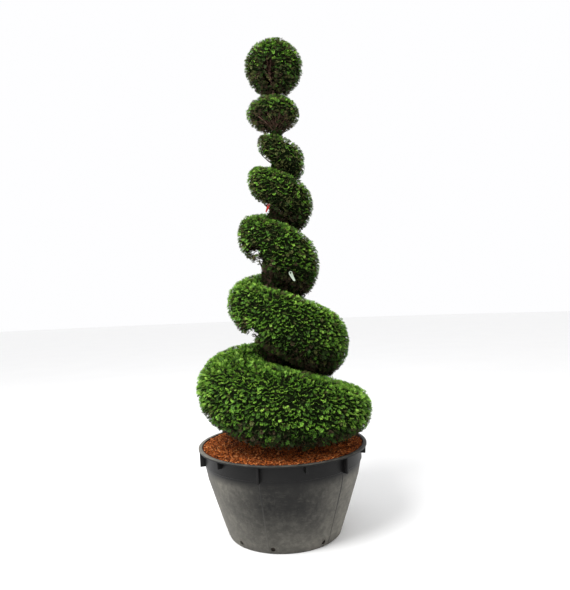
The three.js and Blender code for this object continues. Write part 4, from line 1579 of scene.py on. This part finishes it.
class TOPIARY_OT_labels(bpy.types.Operator):
    """Finish the two blank loop labels"""

    bl_idname = "topiary.labels"
    bl_label = "Labels"

    def execute(self, context):
        for node, label in LABELS.items():
            colours = scaled(label["colour"], 0.7), label["colour"]
            weathered = (120.0, 3.0, 0.35, 0.65)
            plastic = two_toned(f"{node}_plastic", 0.45, 0.2, weathered, colours, (500.0, 2.0, 0.0002))
            finish_piece(self.blade(f"{node}_blade", label), plastic, node, node)
        return {"FINISHED"}

    def blade(self, name, label):
        """A flat strip round its eye, with a tail that narrows and bows out."""
        eye, up, out = (np.array(label[key]) for key in ("eye", "up", "twig"))
        side = unit(np.cross(up, out))
        half, length = label["half"], label["length"]

        def place(across, lengthwise):
            turn = 2 * np.pi * across
            x, y = np.sin(turn), np.cos(turn)
            to_side = half / np.maximum(np.abs(x), 1e-6)
            to_end = length / np.maximum(-y, 1e-6)
            edge = np.where(y > 0, half, np.minimum(to_side, to_end))
            reach = LABEL_EYE + (edge - LABEL_EYE) * lengthwise
            down = np.maximum(-reach * y, 0) / length
            x, y = reach * x * (1 - 0.55 * down**1.5), reach * y
            x += label["sway"] * (down**2 - 0.8 * down)
            bow = label["bow"] * down**2
            return eye + x[:, None] * side + y[:, None] * up + bow[:, None] * out

        blade = shaped_grid(name, 96, 14, place)
        apply_modifier(blade, "SOLIDIFY", thickness=LABEL_THICK, offset=0)
        return blade


# Stage

# The camera: place, tilt and roll in radians, and lens, picture and principal row in pixels.
CAMERA_PLACE = (0.0679, -4.0213, 1.6164)
CAMERA_PITCH = 0.1009
CAMERA_ROLL = 0.0363
FOCAL_PIXELS = 524.62
PICTURE = (570, 590)
PRINCIPAL_ROW = 253.0
SENSOR = 36.0
KEY_PLACE, KEY_AIM, KEY_SIZE = (-2.6, -3.4, 6.4), (0, 0, 1.9), 3.2


class TOPIARY_OT_stage(bpy.types.Operator):
    """Set out the floor, the soft light and the camera"""

    bl_idname = "topiary.stage"
    bl_label = "Stage"

    def execute(self, context):
        size = settings().stage
        self.floor(size)
        self.light(size)
        self.camera()
        return {"FINISHED"}

    def floor(self, size):
        disc = {"vertices": 96, "radius": 60, "fill_type": "NGON"}
        floor = added("floor", bpy.ops.mesh.primitive_circle_add, **disc)
        finish = Finish("floor", 0.9)
        cast = finish.patches(0.8, 2.0, 0.3, 0.7)
        finish.colour(finish.mix(cast, scaled(size.floor, 0.985), size.floor))
        floor.data.materials.append(finish.material)

    def light(self, size):
        world = bpy.data.worlds.new("sky")
        world.use_nodes = True
        bpy.context.scene.view_settings.view_transform = "Standard"
        background = world.node_tree.nodes["Background"]
        background.inputs["Color"].default_value = (0.99, 0.99, 1.0, 1.0)
        background.inputs["Strength"].default_value = size.sky
        bpy.context.scene.world = world
        deselect()
        bpy.ops.object.light_add(type="AREA", location=KEY_PLACE)
        key = bpy.context.object
        key.name = "key"
        key.data.shape = "DISK"
        key.data.size = KEY_SIZE
        key.data.energy = size.key
        aim = Vector(KEY_AIM) - key.location
        key.rotation_euler = aim.to_track_quat("-Z", "Y").to_euler()

    def camera(self):
        deselect()
        pitch = Matrix.Rotation(math.pi / 2 + CAMERA_PITCH, 3, "X")
        roll = Matrix.Rotation(-CAMERA_ROLL, 3, "Z")
        bpy.ops.object.camera_add(location=CAMERA_PLACE, rotation=(pitch @ roll).to_euler())
        camera = bpy.context.object
        camera.name = "camera"
        camera.data.sensor_width = SENSOR
        camera.data.lens = FOCAL_PIXELS / max(PICTURE) * SENSOR
        camera.data.shift_y = (PRINCIPAL_ROW - PICTURE[1] / 2) / max(PICTURE)
        bpy.context.scene.camera = camera


# The add-on


class TopiarySettings(bpy.types.PropertyGroup):
    """All settings of the topiary."""

    tub: PointerProperty(type=TubSettings, name="Tub", description="The moulded tub")
    mulch: PointerProperty(type=MulchSettings, name="Mulch", description="The bed of bark")
    bark: PointerProperty(type=BarkSettings, name="Bark", description="Trunk, boughs and twigs")
    needles: PointerProperty(type=NeedleSettings, name="Needles", description="The sprays of needles")
    stage: PointerProperty(type=StageSettings, name="Stage", description="Floor, light and camera")


OPERATORS = (
    TOPIARY_OT_stage,
    TOPIARY_OT_tub,
    TOPIARY_OT_mulch,
    TOPIARY_OT_limbs,
    TOPIARY_OT_foliage,
    TOPIARY_OT_labels,
)


class TOPIARY_PT_sidebar(bpy.types.Panel):
    """The pieces of the topiary."""

    bl_label = "Topiary"
    bl_idname = "TOPIARY_PT_sidebar"
    bl_space_type = "VIEW_3D"
    bl_region_type = "UI"
    bl_category = "Topiary"

    def draw(self, context):
        for operator in OPERATORS:
            self.layout.operator(operator.bl_idname)
        for group in TopiarySettings.__annotations__:
            values = getattr(settings(), group)
            box = self.layout.box()
            for name in values.__annotations__:
                box.prop(values, name)


CLASSES = (
    TubSettings,
    MulchSettings,
    BarkSettings,
    NeedleSettings,
    StageSettings,
    TopiarySettings,
    *OPERATORS,
    TOPIARY_PT_sidebar,
)


def register():
    for cls in CLASSES:
        bpy.utils.register_class(cls)
    bpy.types.Scene.topiary = PointerProperty(type=TopiarySettings)


def unregister():
    del bpy.types.Scene.topiary
    for cls in reversed(CLASSES):
        bpy.utils.unregister_class(cls)


def main():
    register()
    bpy.ops.topiary.stage()
    bpy.ops.topiary.tub()
    bpy.ops.topiary.mulch()
    bpy.ops.topiary.limbs()
    bpy.ops.topiary.foliage()
    bpy.ops.topiary.labels()


if __name__ == "__main__":
    main()
